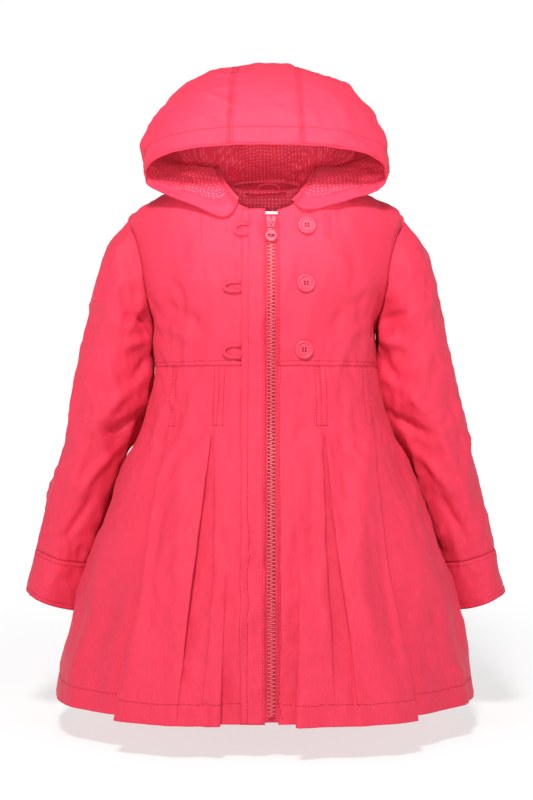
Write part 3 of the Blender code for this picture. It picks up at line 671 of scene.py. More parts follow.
def held_still(points):
    """How freely cloth can move: hardly at all at the neck seam and the armholes."""
    turns = np.linspace(0, 360, 49)
    neck = on_ring(*neck_place(turns))
    arm = on_ring(*armhole_edge(turns))
    gap = np.full(points.shape[:-1], 1e9)
    for path in (neck, arm, arm * (-1, 1, 1)):
        near = np.abs(points - path.mean(axis=0)).max(axis=-1) < 100
        if near.any():
            gap[near] = np.minimum(gap[near], near_line(points[near], path)[0])
    return 0.08 + 0.92 * ease(gap / 16)


def sewn_relief(points, stitched, seams):
    """Grooves and puckers along rows of stitches, and seams that sink in."""
    relief = np.zeros(points.shape[:-1])
    for number, path in enumerate(stitched):
        gap, along, _ = near_line(points, resample(path, 24))
        relief -= 0.55 * np.exp(-((gap / 1.5) ** 2))
        pucker = np.sin(along / 1.5 + number) + np.sin(along / 2.3 + 2 * number) + np.sin(along / 0.9)
        relief += 0.12 * pucker * np.exp(-((gap / 5.5) ** 2))
    for path in seams:
        gap, along, _ = near_line(points, resample(path, 24))
        relief -= 0.5 * np.exp(-((gap / 1.5) ** 2))
        relief += 0.16 * (np.sin(along / 1.9) + np.sin(along / 3.3)) * np.exp(-((gap / 6) ** 2))
    return relief


def tuck(rest, lift, level, edge, reach=4.0, sink=2.2):
    """Adds seam allowance that goes on past one edge, under the piece that it is sewn to."""
    arrays = [rest, lift, np.broadcast_to(level, rest.shape[:2])[..., None]]
    if edge in ("left", "right"):
        arrays = [array.swapaxes(0, 1) for array in arrays]
    if edge in ("bottom", "right"):
        arrays = [array[::-1] for array in arrays]
    points, lifts, levels = arrays
    onward = unit(points[0] - points[3])
    points = np.concatenate([[points[0] + onward * reach * k for k in (1, 0.5)], points])
    lifts = np.concatenate([lifts[:1], lifts[:1], lifts])
    levels = np.concatenate([levels[:1] - sink, levels[:1] - sink * 0.75, levels])
    arrays = [points, lifts, levels]
    if edge in ("bottom", "right"):
        arrays = [array[::-1] for array in arrays]
    if edge in ("left", "right"):
        arrays = [array.swapaxes(0, 1) for array in arrays]
    return arrays[0], arrays[1], arrays[2][..., 0]


# Making meshes


def grid_normals(points, closed, guide):
    down = np.gradient(points, axis=0)
    if closed:
        across = (np.roll(points, -1, axis=1) - np.roll(points, 1, axis=1)) / 2
    else:
        across = np.gradient(points, axis=1)
    normals = unit(np.cross(down, across))
    return normals if np.sum(normals * guide) > 0 else -normals


def flat_places(points, closed):
    """How far each grid point lies across and down the cloth from the middle of its top."""
    middle = points.shape[1] // 2
    steps = np.linalg.norm(np.diff(points, axis=1), axis=-1)
    across = np.concatenate([np.zeros((len(points), 1)), np.cumsum(steps, axis=1)], axis=1)
    across -= across[:, middle : middle + 1]
    steps = np.linalg.norm(np.diff(points, axis=0), axis=-1)
    down = np.concatenate([np.zeros((1, points.shape[1])), np.cumsum(steps, axis=0)], axis=0)
    return np.stack([across, -down], axis=-1) * MM


def shell_mesh(name, points, normals, thickness, closed):
    """A thin wall of cloth: outer skin, inner skin and rims, with flat places as its UVs."""
    rows, columns = points.shape[:2]
    thickness = np.broadcast_to(np.reshape(thickness, (-1, 1, 1)), (rows, 1, 1))
    skins = np.concatenate([points.reshape(-1, 3), (points - normals * thickness).reshape(-1, 3)])
    index = np.arange(rows * columns).reshape(rows, columns)
    if closed:
        index = np.concatenate([index, index[:, :1]], axis=1)
    a, b, c, d = index[:-1, :-1], index[1:, :-1], index[1:, 1:], index[:-1, 1:]
    outer = np.stack([a, b, c, d], axis=-1).reshape(-1, 4)
    inner = outer[:, ::-1] + rows * columns
    rims = []
    edges = [index[0], index[-1, ::-1]]
    if not closed:
        edges += [index[::-1, 0], index[:, -1]]
    for edge in edges:
        here, ahead = edge[:-1], edge[1:]
        rims.append(np.stack([here, ahead, ahead + rows * columns, here + rows * columns], axis=-1))
    faces = np.concatenate([outer, inner, *rims])
    turned = np.cross(points[1, 0] - points[0, 0], points[0, 1] - points[0, 0])
    if np.dot(turned, normals[0, 0]) < 0:
        faces = faces[:, ::-1]
    mesh = bpy.data.meshes.new(name)
    mesh.from_pydata((skins * MM).tolist(), [], faces.tolist())
    mesh.update()
    places = np.tile(flat_places(points, closed).reshape(-1, 2), (2, 1))
    loops = np.zeros(len(mesh.loops), np.int32)
    mesh.loops.foreach_get("vertex_index", loops)
    layer = mesh.uv_layers.new(name="cloth")
    layer.data.foreach_set("uv", places[loops].ravel().astype(np.float32))
    mesh.polygons.foreach_set("use_smooth", np.ones(len(mesh.polygons), bool))
    return mesh, outer


def show(name, mesh, material, body="coat", node=None, slot="shell"):
    """Adds a finished piece to the scene, in place of a CAD node if it is named."""
    piece = bpy.data.objects.new(name, mesh)
    bpy.context.scene.collection.objects.link(piece)
    mesh.materials.append(material)
    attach(piece, body)
    if node:
        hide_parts(node)
    return piece


THREADS = {}
THREAD_REACH = 9.0


def sew(group, points, outer, paths, pitch=3.1, thread=2.4, radius=0.36):
    """Lays stitches along paths on a finished skin; they are made into one mesh for each group later."""
    tree = BVHTree.FromPolygons(points.reshape(-1, 3).tolist(), outer.tolist())
    for path in paths:
        count = max(3, int(path_length(path) / pitch) + 1)
        fine = resample(path, count)
        ahead = unit(np.gradient(fine, axis=0))
        for centre, direction in zip(fine, ahead):
            place, facing, _, gap = tree.find_nearest(Vector(centre))
            if place is not None and gap <= THREAD_REACH:
                stitch = (np.array(place), direction, np.array(facing), thread, radius)
                THREADS.setdefault(group, []).append(stitch)


def build_threads(group, material):
    """One mesh of small lozenge-shaped stitches."""
    centres, ahead, facing, length, radius = (np.array(column) for column in zip(*THREADS[group]))
    ahead = unit(ahead - facing * np.sum(ahead * facing, axis=1, keepdims=True))
    side = np.cross(facing, ahead)
    half, radius = length[:, None] / 2, radius[:, None]
    sunk = facing * radius * 0.3
    corners = [centres - ahead * half - sunk]
    for place in (-0.6, 0.6):
        ring = centres + ahead * half * place + facing * radius * 0.45
        corners += [ring + way * radius for way in (side, facing, -side, -facing)]
    corners.append(centres + ahead * half - sunk)
    verts = np.stack(corners, axis=1)
    shape = [(0, 2, 1), (0, 3, 2), (0, 4, 3), (0, 1, 4)]
    shape += [(1, 2, 6, 5), (2, 3, 7, 6), (3, 4, 8, 7), (4, 1, 5, 8)]
    shape += [(9, 5, 6), (9, 6, 7), (9, 7, 8), (9, 8, 5)]
    faces = [tuple(10 * n + k for k in face) for n in range(len(centres)) for face in shape]
    mesh = bpy.data.meshes.new(group)
    mesh.from_pydata((verts.reshape(-1, 3) * MM).tolist(), [], faces)
    mesh.polygons.foreach_set("use_smooth", np.ones(len(mesh.polygons), bool))
    return show(group, mesh, material)


# Materials


def feed(node, inputs):
    """Gives each input of a node a value of its own or another node's output."""
    for name, value in inputs.items():
        if isinstance(value, bpy.types.NodeSocket):
            node.id_data.links.new(value, node.inputs[name])
        else:
            node.inputs[name].default_value = value


def add_node(tree, kind, inputs=(), **settings):
    node = tree.nodes.new("ShaderNode" + kind)
    for name, value in settings.items():
        setattr(node, name, value)
    feed(node, dict(inputs))
    return node


def new_material(name):
    """A new material with its node tree, its shader and places on the piece to set patterns by."""
    material = bpy.data.materials.new(name)
    material.use_nodes = True
    tree = material.node_tree
    return material, tree, tree.nodes["Principled BSDF"], add_node(tree, "TexCoord").outputs


def mix(tree, factor, first, second):
    inputs = {"Factor": factor, "A": first, "B": second}
    return add_node(tree, "Mix", inputs, data_type="RGBA").outputs["Result"]


def shade(colour, share):
    return (*[min(1, c * share) for c in colour], 1)


def half_and(tree, half, whole):
    """Half of one pattern added to the whole of another."""
    inputs = {0: half.outputs["Fac"], 1: 0.5, 2: whole.outputs["Fac"]}
    return add_node(tree, "Math", inputs, operation="MULTIPLY_ADD").outputs[0]


def cloth_material(name, colour, sheen=0.06, dots=None, rough=0.68):
    """Woven cotton: twill and slub as bump, uneven dye, and small printed dots where it has them."""
    material, tree, shader, place = new_material(name)
    mottle = {"Scale": 16, "Detail": 5, "Roughness": 0.6, "Vector": place["Object"]}
    tone = add_node(tree, "TexNoise", mottle)
    stretched = {0: place["UV"], 1: SLUB_STRETCH}
    along = add_node(tree, "VectorMath", stretched, operation="MULTIPLY")
    slub = add_node(tree, "TexNoise", {"Scale": 1, "Detail": 4, "Vector": along.outputs[0]})
    spread = {"From Min": 0.5, "From Max": 1.0, "Value": half_and(tree, tone, slub)}
    uneven = add_node(tree, "MapRange", spread).outputs[0]
    dyed = mix(tree, uneven, shade(colour, 0.91), shade(colour, 1.07))
    if dots:
        dyed = printed_dots(tree, place["UV"], dyed, dots)
    lines = {"Scale": TWILL_SCALE, "Distortion": 1.2, "Vector": place["UV"]}
    twill = add_node(tree, "TexWave", lines, bands_direction="DIAGONAL")
    raised = {"Strength": 0.22, "Distance": 0.0003, "Height": half_and(tree, twill, slub)}
    feed(shader, {
        "Base Color": dyed,
        "Roughness": rough,
        "Specular IOR Level": 0.25,
        "Sheen Weight": sheen,
        "Sheen Roughness": 0.45,
        "Sheen Tint": (1.0, 0.45, 0.52, 1),
        "Normal": add_node(tree, "Bump", raised).outputs["Normal"],
    })
    return material


def printed_dots(tree, uv, ground, dots):
    """Small round dots scattered evenly over a ground colour."""
    scattered = {"Scale": 1 / dots.pitch, "Randomness": 0.3, "Vector": uv}
    scatter = add_node(tree, "TexVoronoi", scattered, voronoi_dimensions="2D")
    size = dots.radius / dots.pitch
    edge = {"From Min": size * 1.2, "From Max": size * 0.8, "Value": scatter.outputs["Distance"]}
    inside = add_node(tree, "MapRange", edge).outputs[0]
    return mix(tree, inside, ground, (*dots.colour, 1))


def hard_material(name, colour, rough, coat=0.0):
    """Enamel or moulded plastic with faint mottling and a fine speckled bump."""
    material, tree, shader, place = new_material(name)
    speckled = {"Scale": 650, "Detail": 4, "Vector": place["Object"]}
    speck = add_node(tree, "TexNoise", speckled).outputs["Fac"]
    gloss = {"To Min": rough * 0.8, "To Max": rough * 1.25, "Value": speck}
    raised = {"Strength": 0.12, "Distance": 0.0001, "Height": speck}
    feed(shader, {
        "Base Color": mix(tree, speck, shade(colour, 0.88), shade(colour, 1.12)),
        "Roughness": add_node(tree, "MapRange", gloss).outputs[0],
        "Coat Weight": coat,
        "Coat Roughness": 0.12,
        "Normal": add_node(tree, "Bump", raised).outputs["Normal"],
    })
    return material


# Colours are linear; the lengths of dots are in metres
Dots = namedtuple("Dots", "colour pitch radius")
TWILL_SCALE = 420
SLUB_STRETCH = (640, 95, 1)
CORAL = (0.70, 0.033, 0.076)
LINING_DOTS = Dots((0.92, 0.26, 0.34), 0.0042, 0.0006)
COTTON = cloth_material("coral_cotton", CORAL)
# The facing is the shell's coral cotton painted lighter: painted light for the shaded inside of the hood
# and the back neck.
FACING_COTTON_PAINTED_LIGHT = cloth_material("facing_cotton_painted_light", (0.75, 0.036, 0.085))
# The lining's ground is painted lighter than the shell's coral, as painted light for the shaded inside of
# the hood and neck; its dots are print.
DOTTED_PAINTED_LIGHT = cloth_material("dotted_lining_painted_light", (0.78, 0.036, 0.082), dots=LINING_DOTS)
TAPE = cloth_material("zip_tape", (0.64, 0.028, 0.068), sheen=0.08)
# The thread is painted darker than the cloth: painted shade for the grooves its stitches sink into, along
# the rows of stitches and in the buttons' holes.
SHADED_THREAD = cloth_material("coral_thread_painted_shade", (0.46, 0.013, 0.034), sheen=0.02, rough=0.6)
SATIN = cloth_material("white_satin", (0.58, 0.53, 0.53), sheen=0.04, rough=0.5)
TEETH = hard_material("zip_teeth", (0.66, 0.085, 0.11), 0.45, coat=0.05)
ENAMEL = hard_material("zip_enamel", (0.70, 0.034, 0.08), 0.55, coat=0.05)
PLASTIC = hard_material("button_plastic", (0.70, 0.035, 0.082), 0.45, coat=0.05)
# Near-black plastic for a disc under each button's face: painted shade, seen through the holes.
HOLE_SHADE = hard_material("button_hole_painted_shade", (0.25, 0.01, 0.03), 0.7)


# Cloth pieces

# A record for a sheet's cut, as a width and a length in metres and, where it isn't a rectangle, its area;
# no sheet is given one here
Cut = namedtuple("Cut", "width length area")


def add_cloth(name, group, rest, lift, material, node, slot="shell", level=0.0, thickness=CLOTH,
              stitched=(), seams=(), closed=False, extra=0.0):
    """A sewn piece of cloth from points of its form and the directions in which it lifts off it."""
    relief = cloth_relief(rest, group) * held_still(rest) + sewn_relief(rest, stitched, seams)
    relief = relief + level + extra
    points = rest + lift * relief[..., None]
    normals = grid_normals(points, closed, lift)
    mesh, outer = shell_mesh(name, points, normals, thickness, closed)
    piece = show(name, mesh, material, node=node, slot=slot)
    if stitched:
        sew(f"stitches_{group}", points, outer, stitched)
    return piece


def torso_line(places, back=False):
    """A path over the torso through places given as (x, drop)."""
    x = np.array([p[0] for p in places], float)
    drop = np.array([p[1] for p in places], float)
    t = np.linspace(0, 1, 40)
    knots = np.linspace(0, 1, len(places))
    x, drop = np.interp(t, knots, x), np.interp(t, knots, drop)
    return skirt(angle_at(x, drop, back), drop)


def offset_path(path, lift, distance):
    """The path moved sideways over the cloth."""
    ahead = unit(np.gradient(path, axis=0))
    return path + unit(np.cross(lift, ahead)) * distance


# Rows of stitches on the bodice: their distances from the armhole and from the middle along the
# left edge, the row above the waist seam, and the short tack below the shoulder
ARM_STITCH = 5.0
EDGE_STITCH = 14.2
EDGE_STITCH_TOP = 24
EDGE_STITCH_FOOT = 560
WAIST_STITCH = 210.5
WAIST_STITCH_DIP = 0.5
WAIST_STITCH_HALF = 119
TACK = [(67, 58), (67, 88)]


def build_bodice():
    for side, sign, edge in FRONTS:
        angle, drop = on_side(sign, *bodice_half(edge, False, FRONT_COLUMNS, BODICE_ROWS))
        rest, lift = on_ring(angle, drop), ring_facing(angle, drop)
        outer = -1 if sign > 0 else 0
        arm, arm_lift = rest[:ARMHOLE_ROWS, outer], lift[:ARMHOLE_ROWS, outer]
        waist = [(x, WAIST_STITCH) for x in (edge, WAIST_STITCH_HALF / 2 + 0.5)]
        waist.append((WAIST_STITCH_HALF, WAIST_STITCH + WAIST_STITCH_DIP))
        stitched = [torso_line([(sign * x, drop) for x, drop in row]) for row in (waist, TACK)]
        stitched.append(offset_path(arm, arm_lift, ARM_STITCH * sign))
        if sign > 0:
            edge_row = [(EDGE_STITCH, EDGE_STITCH_TOP), (EDGE_STITCH, WAIST_DROP)]
            stitched.append(torso_line(edge_row))
        add_cloth(
            f"front_{side}_bodice", "torso", rest, lift, COTTON, f"bodice_front_{side}",
            stitched=stitched, seams=[rest[-1], arm],
        )
    angle, drop = whole_back(*bodice_half(0.0, True, BACK_COLUMNS, BODICE_ROWS))
    rest, lift = on_ring(angle, drop), ring_facing(angle, drop)
    arms = [rest[:ARMHOLE_ROWS, 0], rest[:ARMHOLE_ROWS, -1]]
    arm_lifts = [lift[:ARMHOLE_ROWS, 0], lift[:ARMHOLE_ROWS, -1]]
    waist = [(x, WAIST_STITCH + WAIST_STITCH_DIP * abs(x)) for x in (-1, 0, 1)]
    waist = [(x * (WAIST_STITCH_HALF - 1), drop) for x, drop in waist]
    stitched = [torso_line(waist, back=True)]
    for arm, arm_lift, sign in zip(arms, arm_lifts, (1, -1)):
        stitched.append(offset_path(arm, arm_lift, -ARM_STITCH * sign))
    add_cloth(
        "back_bodice", "torso", rest, lift, COTTON, "bodice_back",
        stitched=stitched, seams=[rest[-1], *arms],
    )


# The rows of stitches down each front's and the back's pleats, as distances from the middle
CHANNELS = {
    "left": [(52.5, 58, 63.5), (104.5, 110.5)],
    "right": [(44.5, 50.5, 55.6), (98.5, 103.5)],
}
BACK_CHANNELS = [(40, 46, 51), (101, 107)]


def pleat_stitches(sign, groups, back=False):
    """Double rows that hold the pleats shut down to their release, each with a bar across its foot."""
    foot = RELEASE_DROP - 3
    paths = []
    for group in groups:
        for x in group:
            paths.append(torso_line([(sign * x * 0.96, WAIST_DROP + 1), (sign * x, foot)], back))
        paths.append(torso_line([(sign * group[0], foot), (sign * group[-1], foot)], back))
    return paths


def hem_path(angles):
    return skirt(angles, np.full_like(angles, HEM_DROP - 20))


def build_skirt():
    thick = np.where(np.arange(SKIRT_ROWS) > SKIRT_ROWS - HEM_ROWS, HEM_CLOTH, CLOTH)
    for side, sign, edge in FRONTS:
        angle, drop = on_side(sign, *skirt_half(sign, edge, False, SKIRT_ROWS))
        rest, lift = skirt(angle, drop), ring_facing(angle, drop)
        stitched = pleat_stitches(sign, CHANNELS[side])
        stitched.append(hem_path(np.linspace(angle[-1, 0], angle[-1, -1], 160)))
        if sign > 0:
            edge_row = [(EDGE_STITCH, WAIST_DROP), (EDGE_STITCH, EDGE_STITCH_FOOT)]
            stitched.append(torso_line(edge_row))
        add_cloth(
            f"front_{side}_skirt", "torso", rest, lift, COTTON, f"skirt_front_{side}",
            thickness=thick, stitched=stitched, seams=[rest[0], rest[:, -1 if sign > 0 else 0]],
        )
    angle, drop = whole_back(*skirt_half(1, 0.0, True, SKIRT_ROWS))
    rest, lift = skirt(angle, drop), ring_facing(angle, drop)
    stitched = [path for sign in (1, -1) for path in pleat_stitches(sign, BACK_CHANNELS, back=True)]
    stitched.append(hem_path(np.linspace(90, 270, 260)))
    add_cloth(
        "back_skirt", "torso", rest, lift, COTTON, "skirt_back", thickness=thick,
        stitched=stitched, seams=[rest[0], rest[:, 0], rest[:, -1]],
    )


def build_sleeves():
    turns = np.linspace(0, 360, SLEEVE_ROUND, endpoint=False)
    ring = np.linspace(0, 360, 120)
    for side, arm in (("left", sleeve), ("right", right_sleeve)):
        group = f"sleeve_{side}"
        main = np.linspace(0.4, CUFF_STATION, SLEEVE_ROWS)
        stations = np.concatenate([[0, 0.08, 0.2], main])
        rest = arm(turns[None], stations[:, None])
        lift = grid_normals(rest, True, rest - rest.mean(axis=1, keepdims=True))
        seams = [rest[0], rest[-1], rest[:, SLEEVE_ROUND // 2]]
        allowance = np.array([armhole_foot(turns, -2.2, -3.5), armhole_foot(turns, -2.0, -1.4)])
        allowance = allowance * (1 if side == "left" else -1, 1, 1)
        rest, lift = np.concatenate([allowance, rest]), np.concatenate([lift[:1], lift[:1], lift])
        add_cloth(
            f"{side}_sleeve", group, rest, lift, COTTON, f"sleeve_{side}", closed=True,
            seams=seams,
        )
        rest = arm(turns[None], np.linspace(CUFF_STATION, SLEEVE_END, CUFF_ROWS)[:, None])
        lift = grid_normals(rest, True, rest - rest.mean(axis=1, keepdims=True))
        stitched = [arm(ring, np.full(120, at)) for at in (CUFF_STATION + 0.08, SLEEVE_END - 0.1)]
        add_cloth(
            f"{side}_cuff", group, rest, lift, COTTON, f"cuff_{side}", closed=True,
            thickness=HEM_CLOTH, stitched=stitched, seams=[rest[0]],
            extra=0.35,
        )


# How far rows of stitches lie from the hood's seams and its brim, and the degrees by which the
# facing's first rows bend round the brim
SEAM_STITCH = 2.8
BRIM_STITCH = 17.0
BRIM_BENDS = (10, 45, 90, 135)


def brim_row(reaches, distance):
    """The path on the hood that lies one distance in from its brim."""
    turns = np.linspace(HOOD_START, 70, 60)
    points = hood(turns[:, None], reaches[None])
    steps = np.linalg.norm(np.diff(points, axis=0), axis=-1)
    gone = np.concatenate([np.zeros((1, len(reaches))), np.cumsum(steps, axis=0)])
    at = np.array([np.interp(distance, gone[:, k], turns) for k in range(len(reaches))])
    return hood(at, reaches)


def build_hood():
    turns = hood_turns(HOOD_START, HOOD_END, HOOD_ROWS)
    seam = hood_seam(turns)
    across_side = np.linspace(0, 1, HOOD_SIDE_COLUMNS)
    across_middle = np.linspace(0, 1, HOOD_MIDDLE_COLUMNS)
    panels = {
        "hood_side_left": seam[:, None] * across_side[None],
        "hood_centre": seam[:, None] + (2 - 2 * seam[:, None]) * across_middle[None],
        "hood_side_right": 2 - seam[:, None] * across_side[None, ::-1],
    }
    seams = [hood(turns, seam), hood(turns, 2 - seam)]
    lifts = [hood_facing(turns, seam), hood_facing(turns, 2 - seam)]
    # The stitches of each panel beside the left and the right seam
    beside = {
        "hood_side_left": (-SEAM_STITCH, None),
        "hood_centre": (SEAM_STITCH, -SEAM_STITCH),
        "hood_side_right": (None, SEAM_STITCH),
    }
    for node, reach in panels.items():
        turn = np.repeat(turns[:, None], reach.shape[1], axis=1)
        rest, lift = hood(turn, reach), hood_facing(turn, reach)
        stitched = [brim_row(np.linspace(reach[0, 0], reach[0, -1], 60), BRIM_STITCH)]
        for path, facing, distance in zip(seams, lifts, beside[node]):
            if distance is not None:
                stitched.append(offset_path(path, facing, distance))
        rest, lift, level = tuck(rest, lift, 0.0, "bottom", reach=11, sink=3)
        if node != "hood_centre":
            edge = "left" if node == "hood_side_left" else "right"
            rest, lift, level = tuck(rest, lift, level, edge)
        add_cloth(
            f"{node}_panel", "hood", rest, lift, COTTON, node, level=level, stitched=stitched,
            seams=seams,
        )


def inside_hood(first, last, rows):
    """Points from neck to neck between two turns of the hood, and the way in which each faces."""
    turn = np.repeat(hood_turns(first, last, rows)[:, None], BRIM_COLUMNS, axis=1)
    reach = np.repeat(np.linspace(0, 2, BRIM_COLUMNS)[None], rows, axis=0)
    return hood(turn, reach), hood_facing(turn, reach)


def build_hood_inside():
    """The plain facing, which starts by folding round the brim, and the dotted lining behind it."""
    rest, lift = inside_hood(HOOD_START, FACING_END, FACING_ROWS)
    ahead = unit(rest[0] - rest[1])
    radius = SHELL_GAP / 2 + 0.1
    bends = np.radians(BRIM_BENDS)
    rolled = rest[0] + ahead * radius * np.sin(bends)[:, None, None]
    level = np.concatenate([radius * (np.cos(bends) - 1), np.full(FACING_ROWS, -SHELL_GAP)])
    lifts = np.concatenate([np.repeat(lift[:1], len(bends), axis=0), lift])
    add_cloth(
        "hood_facing_band", "hood", np.concatenate([rolled, rest]), lifts, FACING_COTTON_PAINTED_LIGHT,
        "hood_facing", level=level[:, None], thickness=LINING,
    )
    rest, lift = inside_hood(FACING_END, LINING_END, LINING_ROWS)
    seam = rest[0]
    rest, lift, level = tuck(rest, lift, -SHELL_GAP, "bottom", reach=11, sink=2.0)
    add_cloth(
        "hood_dotted_lining", "hood", rest, lift, DOTTED_PAINTED_LIGHT, "hood_lining", slot="lining",
        level=level, thickness=LINING, seams=[seam],
    )


# Front closing

# The fly's rows of stitches: their places across at the neck and the hem, and where they bend
FLY_STITCHES = [(-18.4, -18.0), (-3.2, -3.2)]
FLY_BEND = 380


def neck_drop():
    return float(neck_place(neck_turn(RIGHT_EDGE))[1])


def strip(across, first, last):
    rows = int((last - first) / FINE)
    drop = np.repeat(np.linspace(first, last, rows)[:, None], len(across), axis=1)
    angle = angle_at(np.repeat(np.array(across)[None], rows, axis=0), drop)
    return skirt(angle, drop), ring_facing(angle, drop)


def build_closing():
    rest, lift = strip(np.linspace(FLY_EDGE, RIGHT_EDGE, 12), neck_drop(), HEM_DROP)
    stitched = [
        torso_line([(x, neck_drop() + 1), (x, FLY_BEND), (foot_x, HEM_DROP - 2)])
        for x, foot_x in FLY_STITCHES
    ]
    add_cloth(
        "fly_placket", "torso", rest, lift, COTTON, "fly_strip", level=SHELL_GAP, thickness=1.2,
        stitched=stitched,
    )
    across = np.linspace(ZIP_CENTRE - TAPE_HALF, ZIP_CENTRE + TAPE_HALF, 14)
    rest, lift = strip(across, neck_drop() + 2, HEM_DROP - 2)
    add_cloth(
        "woven_zip_tape", "torso", rest, lift, TAPE, "zip_tape", slot="zip", level=-1.4,
        thickness=LINING,
    )


def seat(x, drop, level=0.0):
    """A frame on the front's face: X across, Y up the cloth and Z out of it, in metres."""
    x, drop = float(x), float(drop)
    angle = float(angle_at(np.array(x), np.array(drop)))
    facing = Vector(facing_out(skirt, angle, drop))
    origin = Vector(skirt(angle, drop)) + facing * level
    across = Vector(skirt(angle + 0.5, drop) - skirt(angle - 0.5, drop)).normalized()
    up = facing.cross(across)
    placed = Matrix((across, up, facing)).transposed().to_4x4()
    placed.translation = origin * MM
    return placed


def merged(name, parts, place, material, **facts):
    """Several small meshes, each (verts, faces) in millimetres, as one piece on a frame."""
    verts, faces = [], []
    for points, polygons in parts:
        faces += [tuple(len(verts) + k for k in polygon) for polygon in polygons]
        verts += [tuple(c * MM for c in point) for point in points]
    mesh = bpy.data.meshes.new(name)
    mesh.from_pydata(verts, [], faces)
    mesh.transform(place)
    mesh.polygons.foreach_set("use_smooth", np.ones(len(mesh.polygons), bool))
    return show(name, mesh, material, **facts)


TOOTH_PITCH = 3.7
# A tooth's sections from its root to its head: how far across, and half its height
TOOTH = [(-3.5, 0.75), (-1.4, 0.62), (-0.4, 0.5), (0.7, 0.85), (1.3, 0.45)]
TAPE_END = (7.0, 1.7, 0.35)


def box(half_x, half_y, half_z):
    ends = (-1, 1)
    corners = [(x * half_x, y * half_y, z * half_z) for x in ends for y in ends for z in ends]
    sides = [(0, 1, 3, 2), (4, 6, 7, 5), (0, 4, 5, 1), (2, 3, 7, 6), (0, 2, 6, 4), (1, 5, 7, 3)]
    return corners, sides


def build_zip_chain():
    """Interlocked moulded teeth, left and right in turn, on one mesh, and the tape's pale end."""
    start = SLIDER_DROP + SLIDER_TALL / 2 + 1
    count = int((HEM_DROP - 6 - start) / (TOOTH_PITCH / 2))
    verts, faces = [], []
    for number in range(count):
        side = 1 if number % 2 else -1
        place = seat(ZIP_CENTRE, start + number * TOOTH_PITCH / 2) @ Matrix.Scale(MM, 4)
        first = len(verts)
        for across, half in TOOTH:
            for up, out in ((-half, -0.5), (-half * 0.8, 1.2), (half * 0.8, 1.2), (half, -0.5)):
                verts.append(place @ Vector((side * -across, up, out)))
        last = first + 4 * (len(TOOTH) - 1)
        tooth = tube_faces(len(TOOTH), 4, first)
        faces += [quad if side > 0 else quad[::-1] for quad in tooth]
        ends = [[first + k for k in range(4)], [last + k for k in (3, 2, 1, 0)]]
        faces += [end[::-1] if side > 0 else end for end in ends]
    placed = seat(ZIP_CENTRE, neck_drop() + 4, -0.6)
    merged("pale_tape_end", [box(*TAPE_END)], placed, SATIN, slot="zip")
    mesh = bpy.data.meshes.new("zip_teeth")
    mesh.from_pydata([tuple(v) for v in verts], [], faces)
    show("zip_teeth", mesh, TEETH, node="zip_chain", slot="zip")


def tube_faces(rings, sides, first=0):
    """Quads between the rings of a tube whose points follow one another ring by ring."""
    faces = []
    for start in range(first, first + (rings - 1) * sides, sides):
        for k in range(sides):
            a, b = start + k, start + (k + 1) % sides
            faces.append((a, b, b + sides, a + sides))
    return faces


def lathe(profile, steps=48):
    """A turned shape from (radius, level) pairs, its axis along Z."""
    points, faces = [], []
    for k in range(steps):
        turn = 2 * math.pi * k / steps
        points += [(r * math.cos(turn), r * math.sin(turn), level) for r, level in profile]
    size = len(profile)
    for k in range(steps):
        a, b = k * size, (k + 1) % steps * size
        faces += [(a + j, b + j, b + j + 1, a + j + 1) for j in range(size - 1)]
    return points, faces


def curve_piece(name, outlines, thickness, bevel, place, material, **facts):
    """A flat plate with rounded edges and holes, from outlines in millimetres."""
    curve = bpy.data.curves.new(name, "CURVE")
    curve.dimensions = "2D"
    curve.fill_mode = "BOTH"
    curve.extrude = (thickness / 2 - bevel) * MM
    curve.bevel_depth = bevel * MM
    curve.bevel_resolution = 2
    curve.offset = -bevel * MM
    for outline in outlines:
        spline = curve.splines.new("POLY")
        spline.points.add(len(outline) - 1)
        for point, (x, y) in zip(spline.points, outline):
            point.co = (x * MM, y * MM, 0, 1)
        spline.use_cyclic_u = True
    flat = bpy.data.objects.new(name, curve)
    mesh = bpy.data.meshes.new_from_object(flat)
    bpy.data.objects.remove(flat)
    mesh.transform(place)
    return show(name, mesh, material, **facts)


def circle(x, y, radius, count=24):
    turns = [2 * math.pi * k / count for k in range(count)]
    return [(x + radius * math.cos(t), y + radius * math.sin(t)) for t in turns]


# A button's rim as radii and levels, its face and the holes in it
BUTTON_RIM = [
    (6.2, 0.2), (6.5, 2.2), (7.0, 2.7), (7.9, 2.95), (8.9, 2.8), (9.55, 2.3),
    (9.85, 1.5), (9.7, 0.7), (9.2, 0.25), (8.6, 0.1), (6.2, 0.1), (6.2, 0.2),
]
FACE_RADIUS = 6.9
HOLE_OUT = 1.45
HOLE_RADIUS = 0.95
THREAD_OUT = 0.28
THREAD_HALF = 1.6
THREAD_LEVEL = 1.9
THREAD_RADIUS = 0.26
# The radius of the dark disc under each button's face, which is painted shade in the holes
HOLE_SHADE_RADIUS = 5.2


